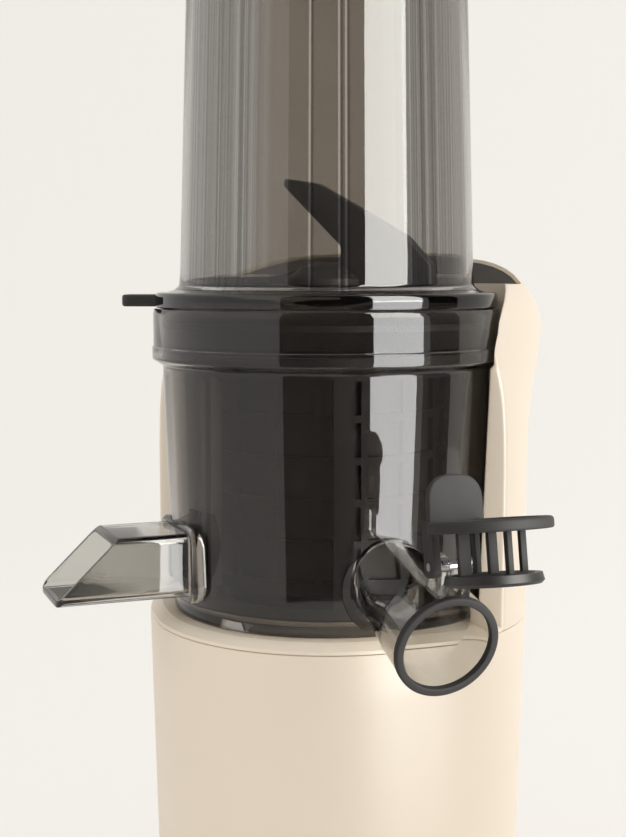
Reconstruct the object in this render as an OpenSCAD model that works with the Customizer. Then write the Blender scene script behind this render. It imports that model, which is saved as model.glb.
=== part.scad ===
// Cold press juicer: a drive housing with a rear column, a clear juicing bowl with two spouts,
// a strainer, a turning brush, an auger and a tall hopper lid.
// Millimetres, +Z up. Every module draws about the bowl's axis, with the table at z = 0,
// and in_frame() then moves it so that the origin is under the middle of the whole juicer.

/* [Housing] */
// Height of the parting line between the drive housing and the top deck
parting_z = 180; // [170:1:200]
// Radius of the housing's front, about the bowl's axis, at the parting line
front_r = 74; // [73:0.5:78]
// Radius of the housing's rear at the parting line
rear_r = 82; // [80:0.5:86]
// How far the rear radius is centred behind the bowl's axis
rear_y = 12.5; // [10:0.5:18]
// How much smaller both radii are at the foot of the housing
housing_taper = 4.5; // [2:0.5:7]
// Wall of the housing and of the column
housing_wall = 3; // [2:0.1:3.6]
// Height of the rubber feet under the base cover
foot_h = 4; // [3:0.5:7]
// Radius of a rubber foot
foot_r = 9; // [6:0.5:11]
// Thickness of the base cover
cover_t = 4; // [3:0.5:5]
// Rise of the top deck above the parting line
deck_rise = 4; // [3:0.5:5]
// Thickness of the top deck
deck_t = 8; // [6:0.5:10]

/* [Column] */
// Height of the column's rounded top
column_top = 333; // [325:1:345]
// Gap between the bowl's collar and the column's hollow face
collar_gap = 4.3; // [3:0.1:5]
// Gap between the bowl's body and the column's hollow face
body_gap = 6; // [5:0.1:7]
// How far the column's head leans back beyond the housing
head_lean = 19.5; // [12:0.5:22]
// Depth of the dark inlay's ledge behind the hollow face
inlay_ledge = 7; // [5:0.5:9]

/* [Bowl] */
// Height of the bowl's body, from the deck to the collar
bowl_h = 106; // [100:1:112]
// Outer radius of the bowl at its floor
bowl_foot_r = 65.5; // [64.5:0.5:67]
// Outer radius of the bowl under its collar
bowl_top_r = 69.3; // [68:0.1:70]
// Outer radius of the collar
collar_r = 73.7; // [73:0.1:74.5]
// Height of the collar
collar_h = 21; // [18:1:24]
// Wall of the bowl
bowl_wall = 3; // [2.5:0.1:3.5]

/* [Lid and hopper] */
// Outer radius of the lid's rim
lid_r = 72.2; // [71:0.1:74]
// Thickness of the lid's rim
lid_t = 6.4; // [5:0.1:8]
// Outer radius of the hopper where it meets the lid
hopper_foot_r = 62; // [60:0.5:64]
// Outer radius of the hopper at its mouth
hopper_top_r = 57.5; // [56:0.5:60]
// Height of the hopper above the lid
hopper_h = 150; // [110:5:180]
// Wall of the hopper
hopper_wall = 2.6; // [2:0.1:3.2]
// Reach of the lid's turning tab from the bowl's axis
tab_reach = 86; // [82:1:92]
// Width of the turning tab
tab_w = 18; // [12:1:24]

/* [Juice spout and cap] */
// Distance of the juice spout's mouth from the bowl's axis
juice_reach = 118; // [112:1:126]
// Height of the middle of the mouth above the table
juice_z = 193; // [190:1:196]
// Downward slope of the juice spout, in degrees
juice_tilt = 17; // [12:1:20]
// Outer radius of the mouth
mouth_r = 19.8; // [18.5:0.1:21]
// Bore radius of the mouth
mouth_bore_r = 17.2; // [16:0.1:18]
// Outer radius of the spout at the bowl
spout_root_r = 14; // [13:0.5:15.5]
// How far the cap swings open from closed, in degrees
cap_swing = 117; // [90:1:120]
// Radius of the cap's plate
cap_r = 21; // [20:0.5:23]
// Height of the cap's hinge above the spout's centreline
hinge_v = 30; // [28:0.5:33]
// Radius of the cap's hinge pin
hinge_pin_r = 1.5; // [1.2:0.1:2]

/* [Pulp spout] */
// Distance of the pulp spout's tip from the bowl's axis
pulp_reach = 120; // [110:1:126]
// Width of the pulp spout
pulp_w = 38; // [32:1:42]
// Height of the pulp spout
pulp_h = 26; // [20:1:28]
// Height of the pulp spout's floor above the table
pulp_z = 195; // [193:0.5:198]
// Length of the pulp spout's roof, beyond the bowl's axis
pulp_roof = 95; // [84:1:104]
// Wall of the pulp spout
pulp_wall = 2.4; // [2:0.1:3]

/* [Strainer, brush and auger] */
// Gap between the turning brush frame and the bowl's foot
brush_gap = 2.5; // [2:0.1:3.5]
// Gap between the strainer's cage and the brush frame
cage_gap = 4.5; // [4:0.1:6]
// Wall of the cage
cage_wall = 2.5; // [2:0.1:3]
// Wall of the steel mesh inside the cage
mesh_t = 0.6; // [0.4:0.1:0.8]
// Columns of windows round the cage
window_columns = 18; // [12:2:24]
// Rows of windows up the cage
window_rows = 5; // [3:1:6]
// Thickness of the brush frame's bars
brush_t = 3; // [2.4:0.1:3]
// Number of silicone blades round the brush frame
blades = 3; // [2:1:4]
// Running gap between the auger's flight and the mesh
flight_gap = 0.8; // [0.5:0.1:1.5]
// Radius of the auger's core at its foot
core_foot_r = 36; // [30:1:40]
// Radius of the auger's core at its top
core_top_r = 15; // [12:1:20]
// Height of the cutting wing's tip above the lid's underside
wing_h = 54; // [40:1:60]

/* [Drive] */
// Module of the reduction gears
gear_m = 1.25; // [1:0.05:1.3]
// Module of the brush gears
brush_m = 1.5; // [1.4:0.05:1.5]
// Radius of the drive shaft
shaft_r = 6; // [5:0.5:7]
// Radius of the motor's can
motor_r = 34; // [30:1:36]
// Length of the motor's can
motor_h = 66; // [50:1:68]

/* [Control knob] */
// Radius of the control knob
knob_r = 17; // [14:0.5:20]
// How far the knob stands out of the housing
knob_t = 14; // [10:0.5:18]
// Height of the knob above the table
knob_z = 62; // [55:1:70]

/* [Hidden] */
$fn = 96;

seat_gap = 0.3;       // gap between two pieces that rest on each other
run_gap = 0.05;       // radial gap of a shaft in its bearing
joint_gap = 0.4;      // gap of the parting lines
cut = 1;              // how far a cutting shape runs past what it cuts
soft = 32;            // facets round a rounded shape that is blended
slab = 0.1;           // thickness of each level that a blended shape runs through

spout_turn = 45;      // each spout points this far off the front
juice_dir = -90 + spout_turn;
pulp_dir = -90 - spout_turn;
tab_dir = 203;        // the lid's tab points to the left
tab_t = 5;

deck_z = parting_z + deck_rise;
bowl_z = deck_z + seat_gap;
bowl_floor = 3.7;
floor_z = bowl_z + bowl_floor;
collar_z = deck_z + bowl_h;
collar_top = collar_z + collar_h;
lid_z = collar_top + seat_gap;
lid_top = lid_z + lid_t;
hopper_top = lid_top + hopper_h;

brush_r = bowl_foot_r - bowl_wall - brush_gap;
cage_r = brush_r - brush_t - cage_gap;
strainer_z = floor_z + 10;
strainer_floor_t = 2.5;
flange_z = collar_z + seat_gap;
flange_t = 3;
mesh_r = cage_r - cage_wall - 0.1;
flight_r = mesh_r - mesh_t - flight_gap;
auger_z = strainer_z + strainer_floor_t + 0.7;
auger_top = lid_z + 4;

// The cap, along the juice spout's centreline from its mouth
hinge_u = -6;         // the hinge, behind the mouth
plug_in = -12;        // the plug's inner face, behind the mouth
plate_u = 6;          // the plate's inner face, in front of the mouth
plate_t = 4;
lug_w = 3;
lug_in = 3;

// Reach of the open cap's plate from the bowl's axis, which sets the front and right ends of the whole
cap_l = juice_reach + hinge_u * cos(juice_tilt) + hinge_v * sin(juice_tilt)
    + (plate_u + plate_t / 2 - hinge_u) * cos(cap_swing - juice_tilt)
    + hinge_v * sin(cap_swing - juice_tilt);
frame_x = (cap_l * sin(spout_turn) + cap_r - (pulp_reach + pulp_w / 2) * sin(spout_turn)) / 2;
frame_y = (rear_y + head_lean + rear_r - cap_l * cos(spout_turn) - cap_r) / 2;

// The column, from the parting line up: [height, centre behind the axis, radius, radius of its hollow face]
lean = head_lean;
dome = 32;            // height over which the column's head rounds over
column_bore_r = collar_r + collar_gap;
shelf_z = collar_z - 3;   // above this, the hollow face makes room for the collar
function bowl_r_at(z) = bowl_foot_r + (bowl_top_r - bowl_foot_r) * (z - bowl_z) / (collar_z - bowl_z);
function bore_at(z) = z < shelf_z ? bowl_r_at(z) + body_gap : column_bore_r;
function dome_r(k) = rear_r - 43 * (1 - sqrt(1 - k * k));
column_foot_bore_r = bore_at(parting_z + joint_gap);
column_levels = concat(
    [for (l = [[parting_z + joint_gap, 0], [parting_z + 12, 0], [parting_z + 45, -0.05],
        [parting_z + 70, -0.06], [parting_z + 83, 0.03], [parting_z + 93, 0.18], [parting_z + 101, 0.4],
        [shelf_z - 0.2, 0.62], [shelf_z + 2, 0.7], [parting_z + 115, 0.88]])
        [l[0], rear_y + l[1] * lean, rear_r, bore_at(l[0])]],
    [for (k = [0, 0.3, 0.5, 0.7, 0.85, 0.95, 1])
        [column_top - dome + dome * k, rear_y + lean + 18 * k * k, dome_r(k), column_bore_r]]);
column_lip_y = -4;
column_steps = 32;
inlay_z = column_top - 12;

wall_in = housing_wall;
cover_z = foot_h;
motor_z = 30;
gearbox_z = motor_z + motor_h + seat_gap;
gearbox_wall = 3;
stage_t = 10;
big_n = 48;
small_n = 12;
stage_a = gear_m * (big_n + small_n) / 2;
stage1_z = gearbox_z + gearbox_wall + 2;
stage2_z = stage1_z + stage_t + 2;
gearbox_h = 2 * stage_t + gearbox_wall + 6;
gearbox_lid_z = gearbox_z + gearbox_h + seat_gap;
gearbox_r = gear_m * big_n / 2 + 6;
post_r = 4;
post_x = gearbox_r + post_r;

sun_n = 24;
pinion_n = 12;
ring_n = sun_n + 2 * pinion_n;
pinion_a = brush_m * (sun_n + pinion_n) / 2;
gear_z = floor_z + 1;
gear_t = 6;
tube_r = shaft_r + 5.5;
shaft_top = auger_z + 26;

// ---- helpers ----

module in_frame() translate([-frame_x, -frame_y, 0]) children();

// Draws the children with +X along a direction, in degrees from the right-hand side
module toward(dir) rotate([0, 0, dir]) children();

module at(x, y, z) translate([x, y, z]) children();

// A tube between two radii, or a ring
module tube(r, bore, h) difference() {
    cylinder(r = r, h = h);
    at(0, 0, -cut) cylinder(r = bore, h = h + 2 * cut);
}

// A solid with the housing's oval plan, through levels of [height, inset]
module oval(levels) hull() for (l = levels) translate([0, 0, l[0] - slab]) {
    cylinder(r = front_r - l[1], h = slab);
    translate([0, rear_y, 0]) cylinder(r = rear_r - l[1], h = slab);
}

function taper_at(z) = housing_taper * (parting_z - z) / parting_z;

// Points of one crescent outline: the outer arc back from one lip to the other, then the bore's arc
function meet_y(c, r, b) = (c * c - (r * r - b * b)) / (2 * c);
function lip_y(c, r, b, lip) = max(lip, meet_y(c, r, b) + 1);
function arc(c, r, from, to, n) = [for (i = [0 : n]) let (a = from + (to - from) * i / n)
    [r * cos(a), c + r * sin(a)]];
function crescent(c, r, b, lip) = let (y = lip_y(c, r, b, lip), a = asin((y - c) / r), i = asin(y / b))
    concat(arc(c, r, a, 180 - a, column_steps), arc(0, b, 180 - i, i, column_steps));

// A solid through crescents at several levels, shrunk by an inset
module column_solid(inset) {
    n = 2 * (column_steps + 1);
    m = len(column_levels);
    rows = [for (l = column_levels)
        [for (p = crescent(l[1], l[2] - inset, l[3] + inset, column_lip_y + inset)) [p[0], p[1], l[0]]]];
    points = [for (row = rows) for (p = row) p];
    sides = [for (j = [0 : m - 2]) for (i = [0 : n - 1]) let (k = (i + 1) % n)
        [[j * n + i, (j + 1) * n + k, j * n + k], [j * n + i, (j + 1) * n + i, (j + 1) * n + k]]];
    polyhedron(points, concat([[for (i = [0 : n - 1]) i]], [for (s = sides) for (f = s) f],
        [[for (i = [n - 1 : -1 : 0]) (m - 1) * n + i]]));
}

// Gear outlines: half the angle of an involute tooth at a radius, and the whole outline
pressure = 20;
function inv(a) = tan(a) * 180 / PI - a;
function half_tooth(n, m, r, slack) = let (rb = n * m / 2 * cos(pressure))
    90 / n + inv(pressure) - (r > rb ? inv(acos(rb / r)) : 0) - slack / r * 180 / PI;
function gear_points(n, m, add, ded, slack) = let (rp = n * m / 2, r0 = rp - ded * m, r1 = rp + add * m,
    rs = [r0, rp - 0.5 * m, rp, rp + 0.5 * add * m, r1])
    [for (t = [0 : n - 1]) each concat(
        [for (r = rs) let (a = 360 * t / n - half_tooth(n, m, r, slack)) r * [cos(a), sin(a)]],
        [for (i = [len(rs) - 1 : -1 : 0]) let (r = rs[i], a = 360 * t / n + half_tooth(n, m, r, slack))
            r * [cos(a), sin(a)]])];
gear_slack = 0.08;    // each flank stands this far back from the perfect mesh

module spur(n, m, h, bore) difference() {
    linear_extrude(h) polygon(gear_points(n, m, 0.9, 1.2, gear_slack));
    if (bore > 0) at(0, 0, -cut) cylinder(r = bore, h = h + 2 * cut);
}

// ---- drive housing ----

module base_housing() color("bisque") {
    housing_shell();
    // bosses for the cover's screws, each joined to the wall by a web
    at_bosses() at(0, 0, cover_z + cover_t + seat_gap) {
        tube(boss_r, screw_r + 0.02, boss_h);
        at(screw_r + 1, -1.5, 0) cube([boss_r + 2.5, 3, boss_h]);
    }
}

module housing_shell() difference() {
    oval([[cover_z, taper_at(0) + 5], [cover_z + 2, taper_at(0) + 1.6], [cover_z + 6, taper_at(0)],
        [parting_z, 0]]);
    oval([[cover_z - cut, taper_at(0) + wall_in + 5], [cover_z + cover_t + 4, taper_at(0) + wall_in],
        [parting_z + cut, wall_in]]);
    at(0, -front_r - cut, knob_z) rotate([-90, 0, 0]) cylinder(r = knob_r + 2.2, h = 3 * housing_wall + 6);
    at(0, rear_y + rear_r - 14, gland_z) rotate([-90, 0, 0]) cylinder(r = gland_r + 0.1, h = 30);
    for (i = [-3 : 3]) at(i * 9, rear_y + rear_r - 20, vent_z)
        rotate([-90, 0, 0]) linear_extrude(40) slot(22, 2);
}
gland_z = 26;
gland_r = 6;
vent_z = 70;

module slot(l, r) union() {
    square([2 * r, l - 2 * r], center = true);
    for (s = [-1, 1]) translate([0, s * (l / 2 - r)]) circle(r, $fn = 24);
}

// Feet and screws stand on two arcs, about the middles of the plan's front and rear circles
front_foot_r = front_r - housing_taper - wall_in - foot_r - 8;
rear_foot_r = rear_r - housing_taper - wall_in - foot_r - 8;
foot_at = [for (a = [222, 318]) front_foot_r * [cos(a), sin(a)],
    for (a = [38, 142]) [0, rear_y] + rear_foot_r * [cos(a), sin(a)]];
boss_r = 5;
boss_h = 16;
screw_r = 2;
front_boss_r = front_r - housing_taper - wall_in - boss_r - 3;
rear_boss_r = rear_r - housing_taper - wall_in - boss_r - 3;
front_boss = [for (a = [247, 293]) [a, front_boss_r, 0]];
rear_boss = [for (a = [62, 118]) [a, rear_boss_r, rear_y]];
bosses = concat(front_boss, rear_boss);
module at_bosses() for (b = bosses) translate([0, b[2], 0]) toward(b[0]) translate([b[1], 0, 0]) children();

module base_cover() color("dimgray") difference() {
    oval([[cover_z, taper_at(0) + wall_in + 6], [cover_z + cover_t, taper_at(0) + wall_in + 3]]);
    for (p = foot_at) at(p[0], p[1], cover_z - cut) cylinder(r = foot_r - 1.9, h = cover_t);
    at_bosses() cylinder(r = screw_r + 0.1, h = 20);
    at_bosses() at(0, 0, cover_z - cut) cylinder(r = head_r + 0.2, h = head_t + cut + 0.4);
    for (i = [-2 : 2]) at(i * 9, 8, cover_z + cover_t / 2)
        linear_extrude(2 * cover_t, center = true) slot(30, 1.8);
}

// Four feet, each with a plug that is pressed into the base cover
module rubber_feet() color("black") for (p = foot_at) at(p[0], p[1], 0) {
    rotate_extrude() polygon([[0, 0], [foot_r - 1, 0], [foot_r, 1], [foot_r, foot_h - 0.1],
        [0, foot_h - 0.1]]);
    cylinder(r = foot_r - 2, h = foot_h + cover_t - 1.2);
}

// Screws that go up through the base cover into the housing's bosses
module housing_screws() color("silver") at_bosses() at(0, 0, cover_z + 0.2) {
    cylinder(r = screw_r, h = 15);
    cylinder(r = head_r, h = head_t);
}
head_r = 3.8;
head_t = 1.8;

module cord_gland() color("black") at(0, rear_y + rear_r - 10, gland_z) rotate([-90, 0, 0]) difference() {
    union() {
        at(0, 0, -4) cylinder(r = gland_r, h = 15);
        at(0, 0, -4) cylinder(r = gland_r + 3, h = 3.6);
        at(0, 0, 8) cylinder(r = gland_r - 0.2, h = 4);
    }
    at(0, 0, -6) cylinder(r = 3.6, h = 30);
}

module top_deck() color("bisque") difference() {
    union() {
        oval([[parting_z + joint_gap, 0], [parting_z + 1.6, 0.4], [deck_z - 0.8, 3.2], [deck_z, 5.2]]);
        oval([[deck_z - deck_t, wall_in + seat_gap], [parting_z + joint_gap + 0.1, wall_in + seat_gap]]);
        at(0, 0, deck_z - 0.5) tube(spigot_r, spigot_r - 3, spigot_h + 0.5);
    }
    at(0, 0, deck_z - deck_t - cut) cylinder(r = bearing_r + 0.02, h = deck_t);
    at(0, 0, 0) cylinder(r = shaft_r + 2.5, h = deck_z + cut);
    // room for the column, which stands on the housing behind the bowl
    at(0, 0, parting_z) intersection() {
        difference() {
            at(-100, column_lip_y - joint_gap, 0) cube([200, 200, 40]);
            at(0, 0, -cut) cylinder(r = column_foot_bore_r - joint_gap, h = 60);
        }
        at(-100, -100, 0.2) cube([200, 300, 40]);
    }
}
spigot_r = 34;
spigot_h = 3;
bearing_r = 13;

module rear_column() color("bisque") difference() {
    column_solid(0);
    // hollow inside, open at the foot
    intersection() {
        column_solid(housing_wall);
        at(-100, 0, 0) cube([200, 200, inlay_z - housing_wall]);
    }
    at(-100, 6, 0) intersection() {
        cube([200, 200, parting_z + 2]);
        at(100, -6, 0) difference() {
            at(0, rear_y, 0) cylinder(r = rear_r - housing_wall, h = parting_z + 2);
            at(0, 0, -cut) cylinder(r = column_foot_bore_r + housing_wall, h = 2 * parting_z);
        }
    }
    // ledge for the inlay and the pocket behind it
    difference() {
        at(-100, -50, inlay_z) cube([200, 200, 60]);
        at(0, 0, 0) intersection() {
            at(-100, -50, inlay_z - 1) cube([200, 200, 60]);
            difference() {
                cylinder(r = 200, h = 400);
                at(0, 0, -cut) cylinder(r = column_bore_r + inlay_ledge, h = 402);
            }
        }
    }
    intersection() {
        at(0, 0, -housing_wall) column_solid(housing_wall);
        at(-100, 0, inlay_z) cube([200, 200, 60]);
    }
}

// The dark face behind the ledge at the column's head
module column_inlay() color("dimgray") intersection() {
    at(0, 0, -housing_wall - seat_gap) column_solid(housing_wall + seat_gap);
    difference() {
        at(-100, 0, inlay_z + 0.1) cube([200, 200, 60]);
        cylinder(r = column_bore_r + inlay_ledge + 0.2, h = 400);
    }
}

// Small switch in the column that feels the lid's tab
module lock_switch() color("dimgray") toward(90) at(column_bore_r + housing_wall + 0.4, -10, lid_z - 28)
    cube([9, 20, 11]);

// Motor board, fixed across the backs of the two rear posts
module circuit_board() color("seagreen") at(-post_x - post_r, stage_a + post_r + seat_gap, motor_z + 4) {
    cube([2 * (post_x + post_r), 1.6, 44]);
    for (c = [[16, 6, 12], [36, 8, 9], [62, 22, 10]]) at(c[0], 0, c[1]) cube([c[2], 9, c[2]]);
    at(28, 0, 32) rotate([-90, 0, 0]) cylinder(r = 6, h = 13);
}

// ---- control knob ----

knob_y = -front_r + taper_at(knob_z);
knob_shaft_r = 3;

module knob_bezel() color("silver") at(0, knob_y - 1.4, knob_z) rotate([-90, 0, 0])
    tube(knob_r + 2, knob_r + 0.5, 4.5);

// Turns a shape that is drawn up +Z so that it faces the front of the housing
module front() at(0, knob_y, knob_z) rotate([90, 0, 0]) children();

module control_knob() color("silver") front() difference() {
    union() {
        at(0, 0, -2) rotate_extrude() polygon([[0, 0], [knob_r, 0], [knob_r, 2 + knob_t - 1.5],
            [knob_r - 1.5, 2 + knob_t], [0, 2 + knob_t]]);
        at(0, 0, -12) cylinder(r = knob_shaft_r, h = 11);
    }
    at(-0.8, knob_r - 9, knob_t - 0.8) cube([1.6, 8, 2]);
}

module control_switch() color("dimgray") front() difference() {
    union() {
        at(-14, -14, -24) cube([28, 28, 18]);
        at(0, 0, -7) cylinder(r = 7, h = 4.4);
        at(-19, -5, -9) cube([38, 10, 3]);
    }
    at(0, 0, -15) cylinder(r = knob_shaft_r + run_gap, h = 20);
}

// ---- motor and gearbox ----

motor_shaft_r = 3;

module motor_can() color("silver") difference() {
    at(0, 0, motor_z) cylinder(r = motor_r, h = motor_h);
    at(0, 0, motor_z - cut) cylinder(r = motor_r - 2, h = motor_h - 3 + cut);
    at(0, 0, motor_z) cylinder(r = motor_shaft_r + run_gap, h = motor_h + cut);
}

module motor_end_cap() color("dimgray") at(0, 0, motor_z - 3.5) difference() {
    union() {
        cylinder(r = motor_r, h = 3.3);
        for (a = [45 : 90 : 315]) toward(a) at(motor_r - 5, -4, 0) cube([11, 8, 3.3]);
    }
    at(0, 0, -cut) cylinder(r = motor_shaft_r + run_gap, h = 8);
    for (a = [0 : 60 : 300]) toward(a) at(20, 0, -cut) cylinder(r = 5, h = 8);
}

// The armature on its shaft, with the first pinion at the top
module motor_rotor() color("goldenrod") {
    at(0, 0, motor_z - 15) cylinder(r = motor_shaft_r, h = stage1_z + stage_t - 1 - motor_z + 15);
    at(0, 0, motor_z + 8) cylinder(r = motor_r - 5, h = motor_h - 26);
    at(0, 0, motor_z + motor_h - 16) cylinder(r = 11, h = 9);
    at(0, 0, stage1_z) spur(small_n, gear_m, stage_t - 1, 0);
}

module cooling_fan() color("dimgray") at(0, 0, motor_z - 13) {
    tube(7, motor_shaft_r, 8);
    for (a = [0 : 40 : 320]) toward(a) at(6.5, -0.8, 0) rotate([18, 0, 0]) cube([20, 1.6, 7]);
    tube(28, 26, 3);
}

module gearbox_plan(r) hull() {
    circle(r);
    translate([0, stage_a]) circle(r);
}

module gearbox_case() color("dimgray") difference() {
    union() {
        at(0, 0, gearbox_z) linear_extrude(gearbox_h) gearbox_plan(gearbox_r);
        for (p = post_at) at(p[0], p[1], gearbox_z) cylinder(r = post_r + 1, h = gearbox_wall);
    }
    at(0, 0, gearbox_z + gearbox_wall) linear_extrude(gearbox_h) gearbox_plan(gearbox_r - gearbox_wall);
    cylinder(r = motor_shaft_r + 1.5, h = gearbox_z + 20);
    at(0, stage_a, 0) cylinder(r = idler_r, h = gearbox_z + 20);
}

module gearbox_lid() color("dimgray") difference() {
    at(0, 0, gearbox_lid_z) linear_extrude(4) gearbox_plan(gearbox_r);
    at(0, 0, gearbox_lid_z - cut) cylinder(r = 11 + 0.02, h = 8);
    at(0, stage_a, gearbox_lid_z - cut) cylinder(r = idler_r, h = 8);
    for (p = lid_screw_at) at(p[0], p[1], gearbox_lid_z - cut) cylinder(r = 1.6, h = 8);
}
idler_r = 4;
lid_screw_at = [for (s = [-1, 1]) for (y = [0, stage_a]) [s * (gearbox_r - gearbox_wall / 2), y]];

module gearbox_screws() color("silver") for (p = lid_screw_at) at(p[0], p[1], gearbox_lid_z) {
    at(0, 0, 0.1) cylinder(r = 1.5, h = 4);
    at(0, 0, 4.1) cylinder(r = 3, h = 2);
}

// Four posts that carry the gearbox on the base cover
module gearbox_posts() color("dimgray") for (p = post_at) at(p[0], p[1], cover_z + cover_t + 0.1)
    cylinder(r = post_r, h = gearbox_z - seat_gap - cover_z - cover_t - 0.1);
post_at = [for (s = [-1, 1]) for (y = [0, stage_a]) [s * post_x, y]];

module idler_pin() color("silver") at(0, stage_a, gearbox_z)
    cylinder(r = idler_r - 0.01, h = gearbox_lid_z + 4 - gearbox_z);

module idler_gear() color("gainsboro") at(0, stage_a, 0) {
    at(0, 0, stage1_z) rotate(180 / big_n) spur(big_n, gear_m, stage_t, idler_r + run_gap);
    at(0, 0, stage1_z + stage_t) spur(small_n, gear_m, stage_t + 1, idler_r + run_gap);
}

module output_gear() color("gainsboro") at(0, 0, stage2_z) rotate(180 / big_n)
    spur(big_n, gear_m, stage_t - 2, shaft_r);

module drive_shaft() color("silver") {
    at(0, 0, stage2_z - 0.5) cylinder(r = shaft_r, h = auger_z - stage2_z);
    at(0, 0, auger_z - 1) cylinder(r = hex_r, h = shaft_top - auger_z + 1, $fn = 6);
}
hex_r = 6;

module lower_bearing() color("silver") at(0, 0, gearbox_lid_z - 0.5) tube(11, shaft_r + run_gap, 6);
module upper_bearing() color("silver") at(0, 0, deck_z - deck_t)
    tube(bearing_r, shaft_r + run_gap, deck_t - 1.2);
module deck_seal() color("black") at(0, 0, deck_z - 1) tube(shaft_r + 2.4, shaft_r + 0.3, 1.2);

// ---- bowl and spouts ----

collar_in_r = 70.2;

module juicing_bowl() color("dimgray") difference() {
    rotate_extrude() polygon([
            [tube_r - 2.5, bowl_z], [spigot_r - 4, bowl_z], [spigot_r - 4, bowl_z + spigot_h + seat_gap],
            [spigot_r + seat_gap, bowl_z + spigot_h + seat_gap], [spigot_r + seat_gap, bowl_z],
            [bowl_foot_r - 1.2, bowl_z], [bowl_foot_r, bowl_z + 1.2],
            [bowl_top_r, collar_z - 1.5], [collar_r - 0.8, collar_z - 0.8], [collar_r, collar_z],
            [collar_r, collar_top - 0.8], [collar_r - 0.8, collar_top], [collar_in_r, collar_top],
            [collar_in_r, collar_z], [bowl_top_r - bowl_wall, collar_z],
            [bowl_foot_r - bowl_wall, floor_z + 3], [bowl_foot_r - bowl_wall - 1, floor_z + 1],
            [bowl_foot_r - bowl_wall - 3, floor_z],
            [tube_r, floor_z], [tube_r, floor_z + 4], [tube_r - 2.5, floor_z + 4]]);
    toward(juice_dir) spout_frame() at(-70, 0, 0) rotate([0, 90, 0]) cylinder(r = 11.2, h = 40);
    toward(pulp_dir) at(pulp_in, -pulp_w / 2 + 4, pulp_z + pulp_wall)
        cube([30, pulp_w - 8, pulp_h - 2 * pulp_wall]);
    toward(90) at(pinion_a, 0, bowl_z - cut) cylinder(r = 2, h = 20);
}

module bowl_seal() color("black") at(0, 0, bowl_z + 0.4) tube(tube_r - 2.6, shaft_r + 0.3, 2.2);

// A frame at the middle of the juice spout's mouth: +X along the spout, outwards
module spout_frame() at(juice_reach, 0, juice_z) rotate([0, juice_tilt, 0]) children();
module along(h0) at(h0, 0, 0) rotate([0, 90, 0]) children();

module juice_spout() color("gray") toward(juice_dir) difference() {
    spout_frame() difference() {
        union() {
            along(-18) cylinder(r1 = mouth_r - 0.8, r2 = mouth_r, h = 18);
            along(-62) cylinder(r1 = spout_root_r, r2 = mouth_r - 0.8, h = 44);
            along(-60) cylinder(r1 = spout_root_r + 4, r2 = spout_root_r + 3, h = 9);
            for (s = [-1, 1]) at(hinge_u - 4, s > 0 ? lug_in : -lug_in - lug_w, 14) {
                cube([8, lug_w, hinge_v - 14]);
                at(4, 0, hinge_v - 14) rotate([-90, 0, 0]) cylinder(r = 4, h = lug_w, $fn = soft);
            }
        }
        along(-17) cylinder(r = mouth_bore_r, h = 20);
        along(-64) cylinder(r1 = 11, r2 = mouth_bore_r, h = 47.01);
        at(hinge_u, -20, hinge_v) rotate([-90, 0, 0]) cylinder(r = hinge_pin_r + 0.01, h = 40);
    }
    at(0, 0, bowl_z) cylinder(r1 = bowl_foot_r + 0.1, r2 = bowl_top_r + 0.1, h = collar_z - bowl_z);
    at(0, 0, 0) cylinder(r = bowl_foot_r + 0.1, h = bowl_z + cut);
}

// Places a shape that is drawn in the spout's frame, with the cap closed, where the open cap has it
module cap_open() toward(juice_dir) spout_frame() at(hinge_u, 0, hinge_v) rotate([0, -cap_swing, 0])
    at(-hinge_u, 0, -hinge_v) children();

seal_t = 4;
seal_r = mouth_bore_r - 0.5;
plug_r = seal_r - 3;

module juice_cap() color("dimgray") cap_open() difference() {
    union() {
        along(plate_u) cylinder(r = cap_r, h = plate_t);
        along(plug_in) cylinder(r = plug_r, h = seal_t);
        for (a = [0, 90]) rotate([a, 0, 0]) at(plug_in + seal_t - 0.1, -plug_r + 1, -1)
            cube([-plug_in - seal_t + plate_u + 0.2, 2 * plug_r - 2, 2]);
        for (s = [-1, 1]) at(0, s * (lug_in + lug_w + 0.3 + 1.5) - 1.5, 0) {
            at(plate_u, 0, cap_r - 6) cube([plate_t, 3, hinge_v + 4 - cap_r + 6]);
            at(hinge_u, 0, hinge_v - 4) cube([plate_u + plate_t - hinge_u, 3, 8]);
            at(hinge_u, 0, hinge_v) rotate([-90, 0, 0]) cylinder(r = 4, h = 3, $fn = soft);
        }
        at(plate_u, -paddle_w / 2, cap_r + 3)
            cube([plate_t + paddle_l - paddle_w / 2, paddle_w, 3]);
        at(plate_u + plate_t + paddle_l - paddle_w / 2, 0, cap_r + 3) cylinder(r = paddle_w / 2, h = 3);
    }
    at(hinge_u, -20, hinge_v) rotate([-90, 0, 0]) cylinder(r = hinge_pin_r + run_gap, h = 40);
}
paddle_w = 19;
paddle_l = 16;

module cap_seal() color("black") cap_open() along(plug_in) rotate_extrude() polygon([
    [plug_r, 0.2], [seal_r - 1, 0.2], [seal_r, 1.2], [seal_r - 0.6, seal_t - 0.2],
    [plug_r, seal_t - 0.2]]);

module cap_hinge_pin() color("silver") toward(juice_dir) spout_frame() at(hinge_u, 0, hinge_v)
    rotate([-90, 0, 0]) cylinder(r = hinge_pin_r, h = 2 * (lug_in + lug_w) + 7, center = true);

// Side outline of the pulp spout: a roofed duct, cut back in a slant to the tip of its floor
pulp_in = bowl_foot_r - 15.5;
module pulp_side() polygon([[pulp_in + 5, 0], [pulp_reach, 0], [pulp_reach, 2], [pulp_roof, pulp_h],
    [pulp_in + 5, pulp_h]]);

module pulp_section(w, h, r) hull() for (y = [-1, 1]) for (z = [-1, 1])
    translate([y * (w / 2 - r), z * (h / 2 - r)]) circle(r, $fn = soft);

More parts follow.
